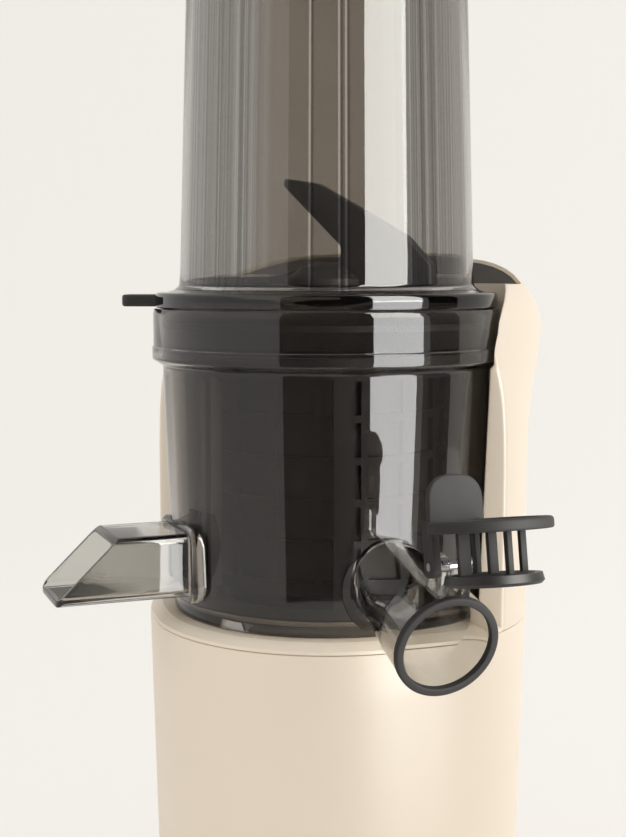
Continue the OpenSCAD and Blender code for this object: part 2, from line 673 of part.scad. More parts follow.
module duct(inset, r, len) at(pulp_in, 0, pulp_z + pulp_h / 2) rotate([90, 0, 90])
    linear_extrude(len) pulp_section(pulp_w - 2 * inset, pulp_h - 2 * inset, r);

module pulp_spout() color("gray") toward(pulp_dir) difference() {
    union() {
        intersection() {
            duct(0, 4, 120);
            at(0, pulp_w, pulp_z) rotate([90, 0, 0]) linear_extrude(2 * pulp_w) pulp_side();
        }
        intersection() {
            at(pulp_in, 0, pulp_z + pulp_h / 2) rotate([90, 0, 90]) linear_extrude(bowl_top_r - pulp_in + 4)
                pulp_section(pulp_w + 7, pulp_h + 7, 8);
            cylinder(r = bowl_top_r + 3, h = 300);
        }
    }
    duct(pulp_wall, 2.4, 120);
    at(0, 0, bowl_z) cylinder(r1 = bowl_foot_r + 0.1, r2 = bowl_top_r + 0.1, h = collar_z - bowl_z);
    at(0, 0, 0) cylinder(r = bowl_foot_r + 0.1, h = bowl_z + cut);
}

// Soft lip that closes the pulp port's sill inside the bowl
module pulp_gasket() color("black") toward(pulp_dir) intersection() {
    at(pulp_in, -pulp_w / 2 + 4.3, pulp_z + pulp_wall + 0.2) difference() {
        cube([20, pulp_w - 8.6, pulp_h - 2 * pulp_wall - 0.4]);
        at(-cut, 2, 2) cube([30, pulp_w - 12.6, pulp_h - 2 * pulp_wall - 4.4]);
    }
    difference() {
        cylinder(r = bowl_foot_r - 0.2, h = 300);
        cylinder(r = bowl_foot_r - bowl_wall + 0.2, h = 300);
    }
}

// ---- strainer, brush and auger ----

module strainer_cage() color("dimgray") difference() {
    union() {
        at(0, 0, strainer_z) tube(cage_r, cage_r - cage_wall, flange_z - strainer_z + flange_t);
        at(0, 0, strainer_z) tube(cage_r, 24, strainer_floor_t);
        at(0, 0, flange_z) tube(collar_in_r - 0.4, cage_r - 1, flange_t);
    }
    cage_windows();
    // hole in the floor through which the pulp leaves
    toward(pulp_dir) at(mesh_r - 11.9, -8, strainer_z - cut) cube([9, 16, strainer_floor_t + 2 * cut]);
}
window_top = flange_z - 4;
window_foot = strainer_z + 6;
rib = 3;

module cage_windows() {
    pitch_z = (window_top - window_foot) / window_rows;
    w = 2 * PI * cage_r / window_columns - rib;
    for (k = [0 : window_rows - 1]) for (a = [0 : window_columns / 2 - 1])
        toward(360 * a / window_columns) at(-100, -w / 2, window_foot + k * pitch_z)
            cube([200, w, pitch_z - rib]);
}

module strainer_mesh() color("silver") at(0, 0, strainer_z + strainer_floor_t + 0.1)
    tube(mesh_r, mesh_r - mesh_t, flange_z + flange_t - strainer_z - strainer_floor_t - 0.1);

module brush_pinion() color("gainsboro") toward(90) at(pinion_a, 0, gear_z) rotate(180 / pinion_n)
    spur(pinion_n, brush_m, gear_t, 2 + run_gap);

module pinion_pin() color("silver") toward(90) at(pinion_a, 0, bowl_z + 0.2)
    cylinder(r = 1.99, h = gear_z + gear_t - bowl_z + 0.6);

module brush_frame() color("dimgray") {
    difference() {
        at(0, 0, floor_z + seat_gap) rotate_extrude() polygon([[ring_in, 0], [brush_r - 2, 0], [brush_r, 2],
            [brush_r, gear_t + 1], [brush_r - brush_t, gear_t + 1], [brush_r - brush_t, 2.5],
            [ring_in + 10, 2.5], [ring_in + 10, gear_t + 1], [ring_in, gear_t + 1]]);
        at(0, 0, floor_z - cut) linear_extrude(gear_t + 6) rotate(180 / ring_n)
            polygon(gear_points(ring_n, brush_m, 1.2, 0.9, -gear_slack));
    }
    at(0, 0, bar_top - 4) tube(brush_r, brush_r - brush_t, 4);
    // bars, a little thinner than the rings that they join
    for (a = [0 : 180 / blades : 359]) toward(a) at(0, 0, gear_z + 3) intersection() {
        at(0, -4, 0) cube([brush_r + 5, 8, bar_top - gear_z - 4]);
        tube(brush_r - bar_inset, brush_r - brush_t + bar_inset, bar_top - gear_z - 4);
    }
}
ring_in = brush_m * ring_n / 2 - 2.5;
bar_inset = 0.3;
bar_top = flange_z - 2;
blade_out = bowl_foot_r - bowl_wall - 0.6;

// Silicone blades that wipe the strainer on the inside and the bowl on the outside
module brush_blades() color("black") for (a = [0 : 360 / blades : 359]) toward(a) {
    at(cage_r + 0.5, -1.2, gear_z + 10) cube([brush_r - brush_t - cage_r - 0.5, 2.4, bar_top - gear_z - 16]);
    at(brush_r, -1, gear_z + 10) cube([blade_out - brush_r, 2, bar_top - gear_z - 16]);
}

flight_turns = 1.5;
flight_t = 7;

module auger() color("dimgray") difference() {
    union() {
        at(0, 0, auger_z) cylinder(r1 = core_foot_r, r2 = core_top_r, h = auger_top - auger_z);
        at(0, 0, auger_z - 0.01) cylinder(r = flight_r - 4, h = 5);
        intersection() {
            at(0, 0, auger_z) linear_extrude(auger_top - auger_z - 2, twist = -360 * flight_turns,
                slices = 72, $fn = 16) for (a = [0, 180]) rotate(a) polygon([[4, -flight_t / 2 - 3],
                    [flight_r + 2, -flight_t / 2], [flight_r + 2, flight_t / 2], [4, flight_t / 2 + 3]]);
            at(0, 0, auger_z) cylinder(r1 = flight_r, r2 = flight_r - 3, h = auger_top - auger_z);
        }
        at(0, 0, gear_z + gear_t) cylinder(r = 21, h = auger_z - gear_z - gear_t + 0.5);
        at(0, 0, gear_z) spur(sun_n, brush_m, gear_t + 0.1, 0);
    }
    at(0, 0, gear_z - cut) cylinder(r = tube_r + 0.5, h = auger_z - gear_z + cut);
    at(0, 0, auger_z - 0.1) cylinder(r = socket_r + 0.02, h = shaft_top - auger_z + 2);
}
socket_r = 10;

// Steel socket moulded into the auger, on the shaft's hexagon
module auger_socket() color("silver") at(0, 0, auger_z) difference() {
    cylinder(r = socket_r, h = shaft_top - auger_z + 1.8);
    at(0, 0, -cut) cylinder(r = hex_r + 0.06, h = shaft_top - auger_z + cut + 0.4, $fn = 6);
}

module auger_seal() color("black") at(0, 0, auger_z - 2.6) tube(23.5, 21.1, 2.2);

// Cutting wing on the auger's top, which draws food down from the hopper
module auger_wing() color("dimgray") at(0, 0, auger_top + 0.05) {
    wing_r = hopper_foot_r - hopper_wall - 10;
    cylinder(r1 = core_top_r, r2 = 9, h = 10);
    cylinder(r = 7, h = wing_h - 8);
    toward(-6) rotate([90, 0, 0]) linear_extrude(6, center = true) polygon([[0, 0], [wing_r, 3],
        [wing_r, 12], [wing_r * 0.45, 36], [7, wing_h - 4], [-2, wing_h - 4]]);
    toward(150) rotate([90, 0, 0]) linear_extrude(5, center = true) polygon([[0, 0], [wing_r - 12, 2],
        [wing_r - 12, 8], [14, 26], [6, wing_h - 12], [0, wing_h - 12]]);
}

// ---- lid and hopper ----

module hopper_lid() color("dimgray") {
    rotate_extrude() polygon(concat(
        [[skirt_r - 3, flange_z + flange_t + seat_gap], [skirt_r, flange_z + flange_t + seat_gap],
         [skirt_r, lid_z], [lid_r - 1, lid_z], [lid_r, lid_z + 1], [lid_r, lid_top - 1.6],
         [lid_r - 1.6, lid_top]],
        [for (a = [0 : 15 : 90]) [hopper_foot_r + 4 - 4 * sin(a), lid_top + 4 - 4 * cos(a)]],
        [[hopper_top_r, hopper_top - 2], [hopper_top_r + 1.5, hopper_top - 1],
         [hopper_top_r + 1.5, hopper_top], [hopper_top_r - hopper_wall, hopper_top],
         [hopper_foot_r - hopper_wall, lid_top], [hopper_foot_r - hopper_wall, lid_z + 2],
         [skirt_r - 3, lid_z]]));
    toward(tab_dir) at(lid_r - 3, -tab_w / 2, lid_z + 0.4) cube([tab_reach - lid_r + 3, tab_w, tab_t]);
    for (s = [-1, 1]) at(s * 14 - 3, hopper_top_r - 1.5, hopper_top - 9) difference() {
        cube([6, cover_hinge_y - hopper_top_r + 4.5, 12]);
        at(-cut, cover_hinge_y - hopper_top_r + 1.5, 9) rotate([0, 90, 0])
            cylinder(r = hinge_pin_r + 0.01, h = 10);
    }
}
skirt_r = 69.4;
cover_hinge_y = hopper_top_r + 5.5;

module lid_seal() color("black") at(0, 0, lid_z - 8) tube(collar_in_r - 0.15, skirt_r + 0.05, 2.4);

// Cover that flips up on a pin behind the hopper's mouth
module hopper_cover() color("dimgray") difference() {
    union() {
        at(0, 0, hopper_top + seat_gap) cylinder(r = hopper_top_r + 1.5, h = cover_disc_t);
        at(0, 0, hopper_top - 5) tube(hopper_top_r - hopper_wall - 0.6,
            hopper_top_r - hopper_wall - 2.6, 5.5);
        at(-10, hopper_top_r - 6, hopper_top + seat_gap)
            cube([20, cover_hinge_y - hopper_top_r + 6, cover_disc_t]);
        at(-10, cover_hinge_y, hopper_top) rotate([0, 90, 0]) cylinder(r = 3, h = 20, $fn = soft);
        at(-9, -hopper_top_r - 7, hopper_top + seat_gap) cube([18, 10, cover_disc_t]);
    }
    at(-12, cover_hinge_y, hopper_top) rotate([0, 90, 0]) cylinder(r = hinge_pin_r + run_gap, h = 24);
    at(-10.5, hopper_top_r - 6, hopper_top - 6) cube([21, 7.6, 6 + seat_gap]);
    for (s = [-1, 1]) at(s * 14 - 3.5, hopper_top_r - 2.2, hopper_top - cut) cube([7, 20, 8]);
}
cover_disc_t = 3.2;

module cover_hinge_pin() color("silver") at(0, cover_hinge_y, hopper_top) rotate([0, 90, 0])
    cylinder(r = hinge_pin_r, h = 36, center = true);

// ---- nodes ----

in_frame() base_housing();
in_frame() base_cover();
in_frame() rubber_feet();
in_frame() top_deck();
in_frame() rear_column();
in_frame() column_inlay();
in_frame() cord_gland();
in_frame() housing_screws();
in_frame() lock_switch();
in_frame() circuit_board();
in_frame() control_switch();
in_frame() knob_bezel();
in_frame() control_knob();
in_frame() motor_can();
in_frame() motor_end_cap();
in_frame() motor_rotor();
in_frame() cooling_fan();
in_frame() gearbox_case();
in_frame() gearbox_lid();
in_frame() gearbox_screws();
in_frame() gearbox_posts();
in_frame() idler_pin();
in_frame() idler_gear();
in_frame() lower_bearing();
in_frame() upper_bearing();
in_frame() deck_seal();
in_frame() drive_shaft();
in_frame() output_gear();
in_frame() juicing_bowl();
in_frame() bowl_seal();
in_frame() juice_spout();
in_frame() juice_cap();
in_frame() cap_seal();
in_frame() cap_hinge_pin();
in_frame() pulp_spout();
in_frame() pulp_gasket();
in_frame() brush_pinion();
in_frame() pinion_pin();
in_frame() brush_frame();
in_frame() brush_blades();
in_frame() strainer_cage();
in_frame() strainer_mesh();
in_frame() auger();
in_frame() auger_wing();
in_frame() auger_socket();
in_frame() auger_seal();
in_frame() hopper_lid();
in_frame() lid_seal();
in_frame() hopper_cover();
in_frame() cover_hinge_pin();
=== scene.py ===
# An upright cold press juicer on a pale studio sweep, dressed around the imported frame.
# Sizes are in millimetres, measured from the bowl's axis, with the table at z = 0.
import math

import bmesh
import bpy
from mathutils import Matrix, Vector


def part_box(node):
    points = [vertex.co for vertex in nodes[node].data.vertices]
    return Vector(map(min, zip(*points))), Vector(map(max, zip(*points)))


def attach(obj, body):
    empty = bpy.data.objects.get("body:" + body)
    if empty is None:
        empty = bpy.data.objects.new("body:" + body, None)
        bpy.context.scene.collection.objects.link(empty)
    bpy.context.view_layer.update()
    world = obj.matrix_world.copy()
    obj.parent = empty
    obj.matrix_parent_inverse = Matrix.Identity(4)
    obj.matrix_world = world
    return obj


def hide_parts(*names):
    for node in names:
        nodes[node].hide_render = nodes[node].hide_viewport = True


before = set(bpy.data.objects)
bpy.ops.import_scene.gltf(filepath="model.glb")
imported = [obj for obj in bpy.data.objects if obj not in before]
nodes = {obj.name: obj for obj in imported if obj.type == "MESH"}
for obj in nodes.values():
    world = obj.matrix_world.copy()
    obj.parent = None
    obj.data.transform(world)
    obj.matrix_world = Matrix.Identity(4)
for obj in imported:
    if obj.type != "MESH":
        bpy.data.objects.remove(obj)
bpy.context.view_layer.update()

millimetre = 0.001
meshLow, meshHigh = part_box("strainer_mesh")
bowlAxis = Vector(((meshLow.x + meshHigh.x) / 2, (meshLow.y + meshHigh.y) / 2, 0))
toFrame = Matrix.Translation(bowlAxis) @ Matrix.Scale(millimetre, 4)
print("frame loaded, bowl axis at", [round(c, 4) for c in bowlAxis])

# heights shared by several pieces
height = {"parting": 180, "bowl": 184.3, "collar": 290, "collarTop": 311, "lid": 311.3,
          "lidTop": 317.7, "hopperTop": 467.7, "columnTop": 333}
juiceDirection = -45  # degrees from +X, seen from above
pulpDirection = -135


# mesh tools
def addMesh(name, points, faces, place=None):
    mesh = bpy.data.meshes.new(name)
    mesh.from_pydata([tuple(p) for p in points], [], faces)
    mesh.transform(toFrame @ place if place is not None else toFrame)
    mesh.update()
    obj = bpy.data.objects.new(name, mesh)
    bpy.context.scene.collection.objects.link(obj)
    faceOutwards(obj)
    softenShading(obj)
    return obj


def faceOutwards(obj):
    shape = bmesh.new()
    shape.from_mesh(obj.data)
    bmesh.ops.recalc_face_normals(shape, faces=shape.faces)
    shape.to_mesh(obj.data)
    shape.free()


def softenShading(obj):
    sharpEdge = 38  # degrees: flatter edges than this are shaded smooth
    obj.data.shade_smooth()
    obj.data.set_sharp_from_angle(angle=math.radians(sharpEdge))


def settle(obj):
    # applies the piece's modifiers, so that the mesh itself holds the shape
    graph = bpy.context.evaluated_depsgraph_get()
    mesh = bpy.data.meshes.new_from_object(obj.evaluated_get(graph))
    old = obj.data
    obj.modifiers.clear()
    obj.data = mesh
    bpy.data.meshes.remove(old)
    obj.data.name = obj.name


def roundCorners(corners, steps=4):
    # each corner is (x, y, radius); round ones become short curves
    sharpest, longest = 1e-3, 0.49  # keeps a curve's start and end apart from the next one's
    points = []
    count = len(corners)
    for i, (x, y, radius) in enumerate(corners):
        corner = Vector((x, y))
        if radius <= 0:
            points.append(corner)
            continue
        before = Vector(corners[i - 1][:2]) - corner
        after = Vector(corners[(i + 1) % count][:2]) - corner
        half = before.angle(after) / 2
        reach = min(radius / max(math.tan(half), sharpest), before.length * longest, after.length * longest)
        start = corner + before.normalized() * reach
        end = corner + after.normalized() * reach
        for k in range(steps + 1):
            t = k / steps
            points.append(start * (1 - t) ** 2 + corner * 2 * t * (1 - t) + end * t * t)
    return points


def ringsToFaces(ringCount, perRing, closed):
    faces = []
    for j in range(ringCount if closed else ringCount - 1):
        k = (j + 1) % ringCount
        for i in range(perRing):
            n = (i + 1) % perRing
            faces.append((j * perRing + i, j * perRing + n, k * perRing + n, k * perRing + i))
    if not closed:
        faces.append(tuple(range(perRing))[::-1])
        faces.append(tuple((ringCount - 1) * perRing + i for i in range(perRing)))
    return faces


def loft(name, rings, closed=False, place=None):
    points = [p for ring in rings for p in ring]
    return addMesh(name, points, ringsToFaces(len(rings), len(rings[0]), closed), place)


def turn(name, profile, segments=160, place=None, shapeRadius=None):
    # a closed profile of (radius, height), turned about the local Z axis
    rings = []
    for k in range(segments):
        angle = 2 * math.pi * k / segments
        ring = []
        for radius, z in profile:
            r = shapeRadius(radius, angle) if shapeRadius else radius
            ring.append((r * math.cos(angle), r * math.sin(angle), z))
        rings.append(ring)
    return loft(name, rings, True, place)


def turnSolid(name, profile, segments=64, place=None):
    # an open profile whose two ends lie on the axis
    inner = profile[1:-1]
    points = [(0, 0, profile[0][1]), (0, 0, profile[-1][1])]
    faces = []
    for k in range(segments):
        angle = 2 * math.pi * k / segments
        points += [(r * math.cos(angle), r * math.sin(angle), z) for r, z in inner]
    m = len(inner)
    for k in range(segments):
        a, b = 2 + k * m, 2 + ((k + 1) % segments) * m
        faces.append((0, b, a))
        faces += [(a + i, b + i, b + i + 1, a + i + 1) for i in range(m - 1)]
        faces.append((1, a + m - 1, b + m - 1))
    return addMesh(name, points, faces, place)


def turnRounded(name, corners, segments=64, place=None, steps=4):
    # a turned solid with rounded corners, closed on the axis at its first and last height
    profile = [tuple(p) for p in roundCorners(corners, steps)]
    return turnSolid(name, [(0, corners[0][1])] + profile + [(0, corners[-1][1])], segments, place)


def bar(name, radius, low, high, segments=64, place=None):
    # a plain round bar along the local Z axis, mostly for cutting
    return turnSolid(name, [(0, low), (radius, low), (radius, high), (0, high)], segments, place)


def upright(name, outline, low, high, place=None):
    # an (x, z) outline, made thick along the local Y axis
    return loft(name, [[(x, y, z) for x, z in outline] for y in (low, high)], False, place)


def slab(name, outline, low, high, edge, place=None, steps=3):
    # a plate with a rounded rim: its outline is (x, y) and its thickness runs from low to high
    count = len(outline)
    middle = sum((Vector(p) for p in outline), Vector((0, 0))) / count
    rings = []
    levels = [(math.sin(a), math.cos(a)) for a in [math.pi / 2 * k / steps for k in range(steps + 1)]]
    for out, up in levels:
        rings.append(ringOf(outline, middle, edge * (1 - out), low + edge * (1 - up)))
    for out, up in levels[::-1]:
        rings.append(ringOf(outline, middle, edge * (1 - out), high - edge * (1 - up)))
    return loft(name, rings, False, place)


def ringOf(outline, middle, inset, z):
    ring = []
    count = len(outline)
    for i in range(count):
        point = Vector(outline[i])
        along = Vector(outline[(i + 1) % count]) - Vector(outline[i - 1])
        normal = Vector((along.y, -along.x)).normalized()
        if normal.dot(point - middle) < 0:
            normal = -normal
        ring.append((*(point - normal * inset), z))
    return ring


def boxed(name, low, high, edge, place=None, segments=3):
    x0, y0, z0 = low
    x1, y1, z1 = high
    points = [(x, y, z) for z in (z0, z1) for x, y in ((x0, y0), (x1, y0), (x1, y1), (x0, y1))]
    faces = [(0, 3, 2, 1), (4, 5, 6, 7), (0, 1, 5, 4), (1, 2, 6, 5), (2, 3, 7, 6), (3, 0, 4, 7)]
    obj = addMesh(name, points, faces, place)
    roundEdges(obj, edge, segments)
    return obj


def roundEdges(obj, edge, segments=3, angle=30):
    bevel = obj.modifiers.new("roundEdges", "BEVEL")
    bevel.width = edge * millimetre
    bevel.segments = segments
    bevel.limit_method = "ANGLE"
    bevel.angle_limit = math.radians(angle)
    bevel.harden_normals = False
    settle(obj)
    softenShading(obj)


def combine(obj, other, operation):
    join = obj.modifiers.new("combine", "BOOLEAN")
    join.object = other
    join.operation = operation
    join.solver = "EXACT"
    settle(obj)
    bpy.data.objects.remove(other)
    softenShading(obj)


def joinPieces(obj, others):
    # one mesh of several closed shells
    shape = bmesh.new()
    shape.from_mesh(obj.data)
    for other in others:
        shape.from_mesh(other.data)
        bpy.data.objects.remove(other)
    shape.to_mesh(obj.data)
    shape.free()
    softenShading(obj)


def aimed(direction):
    return Matrix.Rotation(math.radians(direction), 4, "Z")


def shift(x, y, z):
    return Matrix.Translation((x, y, z))


alongX = Matrix.Rotation(math.radians(90), 4, "Y")  # turns local +Z to +X
alongY = Matrix.Rotation(math.radians(-90), 4, "X")  # turns local +Z to +Y


def dress(obj, material, body, stands=()):
    obj.data.materials.clear()
    obj.data.materials.append(material)
    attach(obj, body)
    if stands:
        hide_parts(*stands)
    if material in clearMaterials:
        obj.visible_shadow = False  # clear walls let the light through


# materials
fineRelief = 0.0001  # metres: how deep a moulded or brushed texture is


def linearColour(hexColour):
    parts = [int(hexColour[i:i + 2], 16) / 255 for i in (1, 3, 5)]
    return (*[c / 12.92 if c <= 0.04045 else ((c + 0.055) / 1.055) ** 2.4 for c in parts], 1)


def addNode(tree, kind, settings=None, links=None):
    # settings go to the node or to its sockets, links to its sockets; a socket has a name or a number
    node = tree.nodes.new(kind)
    for key, value in (settings or {}).items():
        if isinstance(key, str) and hasattr(node, key) and key not in node.inputs:
            setattr(node, key, value)
        else:
            node.inputs[key].default_value = value
    for key, source in (links or {}).items():
        tree.links.new(source, node.inputs[key])
    return node


def startMaterial(name):
    material = bpy.data.materials.new(name)
    material.use_nodes = True
    tree = material.node_tree
    tree.nodes.clear()
    return material, tree


def speckle(tree, sizeMillimetres, detail=3):
    # object coordinates are in metres, so the scale is how many specks fit in one
    place = addNode(tree, "ShaderNodeTexCoord")
    return addNode(tree, "ShaderNodeTexNoise",
                   {"Scale": 1000 / sizeMillimetres, "Detail": detail}, {"Vector": place.outputs["Object"]})


def finishMaterial(tree, looks, cloud, roughness, bump, settings, ribs=None):
    # colour and gloss drift with the cloud between two near tones;
    # bump is its source, its strength and its depth in metres
    near, far = linearColour(looks["colour"]), linearColour(looks["colourFar"])
    tint = addNode(tree, "ShaderNodeMix", {"data_type": "RGBA", "A": near, "B": far}, {"Factor": cloud})
    gloss = addNode(tree, "ShaderNodeMapRange", {"To Min": roughness[0], "To Max": roughness[1]},
                    {"Value": cloud})
    relief = addNode(tree, "ShaderNodeBump", {"Strength": bump[1], "Distance": bump[2]}, {"Height": bump[0]})
    # where ribs are given, their painted light and shade goes over the colour as thin pale and dark lines
    colour = paintedRibLight(tree, ribs, tint.outputs["Result"]) if ribs else tint.outputs["Result"]
    surface = addNode(tree, "ShaderNodeBsdfPrincipled", settings,
                      {"Base Color": colour, "Roughness": gloss.outputs["Result"],
                       "Normal": relief.outputs["Normal"]})
    addNode(tree, "ShaderNodeOutputMaterial", None, {"Surface": surface.outputs["BSDF"]})


def mouldedPlastic(name, looks):
    # injection moulded ABS or PP: even colour, a fine even texture and slightly uneven gloss
    material, tree = startMaterial(name)
    cloud = speckle(tree, looks["cloudSize"]).outputs["Fac"]
    grain = speckle(tree, looks["grainSize"]).outputs["Fac"]
    rough, spread = looks["rough"], looks["roughSpread"]
    finishMaterial(tree, looks, cloud, (rough - spread, rough + spread),
                   (grain, looks["grainDepth"], fineRelief), {"IOR": looks.get("ior", 1.5)})
    return material


def clearPlastic(name, looks):
    # polished copolyester: clear, tinted in the melt, with a faint ripple from the mould, and painted rib
    # light and shade where ribs are given
    material, tree = startMaterial(name)
    cloud = speckle(tree, looks["cloudSize"], 2).outputs["Fac"]
    finishMaterial(tree, looks, cloud, (looks["rough"], looks["rough"] * 2.2),
                   (cloud, looks["ripple"], 2 * fineRelief),
                   {"IOR": looks["ior"], "Transmission Weight": 1.0}, looks.get("ribs"))
    return material


def paintedRibLight(tree, ribs, plain):
    # painted light and shade of fine upright ribs: the thin dark and pale lines the ribs bend the light into,
    # painted into the colour in two bands round the chute;
    # their real pitch is about 1 mm, drawn near 2 mm so that the lines show
    place = addNode(tree, "ShaderNodeTexCoord")
    centred = addNode(tree, "ShaderNodeMapping", {"Location": -bowlAxis}, {"Vector": place.outputs["Object"]})
    parts = addNode(tree, "ShaderNodeSeparateXYZ", None, {"Vector": centred.outputs["Vector"]})
    angle = addNode(tree, "ShaderNodeMath", {"operation": "ARCTAN2"},
                    {0: parts.outputs["Y"], 1: parts.outputs["X"]})
    turned = addNode(tree, "ShaderNodeMath", {"operation": "SUBTRACT", 1: math.radians(ribs["middle"])},
                     {0: angle.outputs[0]})
    sine = addNode(tree, "ShaderNodeMath", {"operation": "SINE"}, {0: turned.outputs[0]})
    size = addNode(tree, "ShaderNodeMath", {"operation": "ABSOLUTE"}, {0: sine.outputs[0]})
    band = addNode(tree, "ShaderNodeMapRange", {"From Min": ribs["band"][0], "From Max": ribs["band"][1]},
                   {"Value": size.outputs[0]})
    lines = addNode(tree, "ShaderNodeTexNoise",
                    {"noise_dimensions": "1D", "Detail": 3, "Scale": ribs["radius"] / ribs["pitch"]},
                    {"W": turned.outputs[0]})
    dark = addNode(tree, "ShaderNodeMapRange", {"From Min": ribs["dark"][0], "From Max": ribs["dark"][1]},
                   {"Value": lines.outputs["Fac"]})
    share = addNode(tree, "ShaderNodeMath", {"operation": "MULTIPLY"},
                    {0: band.outputs["Result"], 1: dark.outputs["Result"]})
    # painted light: pale lines over the bands, then painted shade lines, then the painted ridge highlights
    # and shades
    tones = [(band.outputs["Result"], ribs["paintedLightTone"]), (share.outputs[0], ribs["paintedShadeTone"])]
    for degrees in ribs["ridges"]:  # a few bolder ribs between, each a painted highlight line beside a painted shade line
        for offset, tone in ((0, ribs["paintedRidgeGlint"]), (2 * ribs["ridgeHalf"], ribs["paintedRidgeShade"])):
            line = addNode(tree, "ShaderNodeMath",
                           {"operation": "COMPARE", 1: math.radians(degrees + offset),
                            2: math.radians(ribs["ridgeHalf"])}, {0: turned.outputs[0]})
            tones.append((line.outputs[0], tone))
    for factor, tone in tones:
        blend = addNode(tree, "ShaderNodeMix", {"data_type": "RGBA", "B": linearColour(tone)},
                        {"Factor": factor, "A": plain})
        plain = blend.outputs["Result"]
    return plain


def metalFinish(name, looks):
    # steel or copper with the fine marks of its making
    material, tree = startMaterial(name)
    place = addNode(tree, "ShaderNodeTexCoord")
    stretch = addNode(tree, "ShaderNodeMapping", {"Scale": looks["stretch"]},
                      {"Vector": place.outputs["Object"]})
    lines = addNode(tree, "ShaderNodeTexNoise", {"Scale": 1000 / looks["lineSize"], "Detail": 2},
                    {"Vector": stretch.outputs["Vector"]}).outputs["Fac"]
    finishMaterial(tree, looks, lines, (looks["rough"] * 0.8, looks["rough"] * 1.25),
                   (lines, 0.15, fineRelief), {"Metallic": 1.0})
    return material


creamAbs = mouldedPlastic("creamAbs", {
    "colour": "#EEE1CE", "colourFar": "#EADCC8", "cloudSize": 90, "grainSize": 0.9, "grainDepth": 0.10,
    "rough": 0.42, "roughSpread": 0.04})  # moulded ABS with a satin face: soft highlights, no sparkle
darkAbs = mouldedPlastic("darkAbs", {
    "colour": "#2C2927", "colourFar": "#272422", "cloudSize": 20, "grainSize": 0.8, "grainDepth": 0.16,
    "rough": 0.72, "roughSpread": 0.06, "ior": 1.42})  # matte moulded ABS, warm near-black
blackAbs = mouldedPlastic("blackAbs", {
    "colour": "#1C1B1A", "colourFar": "#232120", "cloudSize": 15, "grainSize": 0.8, "grainDepth": 0.12,
    "rough": 0.42, "roughSpread": 0.05})  # matte moulded ABS, black
inlayAbs = mouldedPlastic("inlayAbs", {
    "colour": "#5B5654", "colourFar": "#54504E", "cloudSize": 25, "grainSize": 0.8, "grainDepth": 0.1,
    "rough": 0.38, "roughSpread": 0.05})  # satin dark grey inlay
cagePpPaintedShade = mouldedPlastic("cagePpPaintedShade", {
    "colour": "#1B1918", "colourFar": "#221F1D", "cloudSize": 12, "grainSize": 1.2, "grainDepth": 0.12,
    "rough": 0.4, "roughSpread": 0.08})  # dark moulded polypropylene of the strainer and the brush, darkened further as painted shade for the inside of the bowl
augerPei = mouldedPlastic("augerPei", {
    "colour": "#211E1D", "colourFar": "#2A2725", "cloudSize": 16, "grainSize": 1.0, "grainDepth": 0.1,
    "rough": 0.5, "roughSpread": 0.08})  # hard moulded resin of the auger, a little glossy from use
whitePom = mouldedPlastic("whitePom", {
    "colour": "#E4E1D6", "colourFar": "#DAD6CA", "cloudSize": 8, "grainSize": 0.6, "grainDepth": 0.08,
    "rough": 0.35, "roughSpread": 0.05})  # acetal gears, milky white
feetRubber = mouldedPlastic("feetRubber", {
    "colour": "#232120", "colourFar": "#2C2A28", "cloudSize": 6, "grainSize": 0.7, "grainDepth": 0.3,
    "rough": 0.75, "roughSpread": 0.08, "ior": 1.45})  # moulded rubber, dull and slightly dusty
sealSilicone = mouldedPlastic("sealSilicone", {
    "colour": "#1F1D1C", "colourFar": "#2A2725", "cloudSize": 5, "grainSize": 0.6, "grainDepth": 0.15,
    "rough": 0.45, "roughSpread": 0.08, "ior": 1.42})  # dark silicone, soft sheen
boardLaminate = mouldedPlastic("boardLaminate", {
    "colour": "#1F6B44", "colourFar": "#19593A", "cloudSize": 6, "grainSize": 0.8, "grainDepth": 0.1,
    "rough": 0.4, "roughSpread": 0.05})  # glass-fibre board under green solder resist
smokedBowlTritan = clearPlastic("smokedBowlTritan", {
    "colour": "#9E9892", "colourFar": "#98928C", "cloudSize": 30,
    "rough": 0.02, "ripple": 0.04, "ior": 1.5})  # smoked clear copolyester of the bowl
smokedLidTritan = clearPlastic("smokedLidTritan", {
    "colour": "#5E5853", "colourFar": "#58524E", "cloudSize": 30,
    "rough": 0.03, "ripple": 0.04, "ior": 1.5})  # the same, darker where the lid ring is thick
smokedHopperTritan = clearPlastic("smokedHopperTritan", {
    "colour": "#AFAAA3", "colourFar": "#AAA49D", "cloudSize": 30, "rough": 0.02, "ripple": 0.03, "ior": 1.5,
    "ribs": {"paintedShadeTone": "#8F8C89", "paintedLightTone": "#C9C7C4", "middle": -66.5, "radius": 60, "pitch": 1.9,
             "band": (0.44, 0.5), "dark": (0.47, 0.62), "ridges": (-6.2, 4.6, 7.2), "ridgeHalf": 0.45,
             "paintedRidgeGlint": "#F4F3F1", "paintedRidgeShade": "#8A8580"}})  # light smoked copolyester with fine ribs, whose light and shade are painted in as pale and dark lines
smokedCoverTritan = clearPlastic("smokedCoverTritan", {
    "colour": "#A6A19A", "colourFar": "#A19B94", "cloudSize": 30,
    "rough": 0.02, "ripple": 0.03, "ior": 1.5})  # light smoked copolyester without ribs
flagCloth = mouldedPlastic("flagCloth", {
    "colour": "#0A0A0A", "colourFar": "#0D0D0D", "cloudSize": 50, "grainSize": 1.0, "grainDepth": 0.1,
    "rough": 0.9, "roughSpread": 0.05})  # black molleton of the studio flags, no shine
clearSpoutTritan = clearPlastic("clearSpoutTritan", {
    "colour": "#CFCDC8", "colourFar": "#C9C7C2", "cloudSize": 20,
    "rough": 0.02, "ripple": 0.04, "ior": 1.5})  # nearly colourless copolyester
clearMaterials = (smokedBowlTritan, smokedLidTritan, smokedHopperTritan, smokedCoverTritan, clearSpoutTritan)
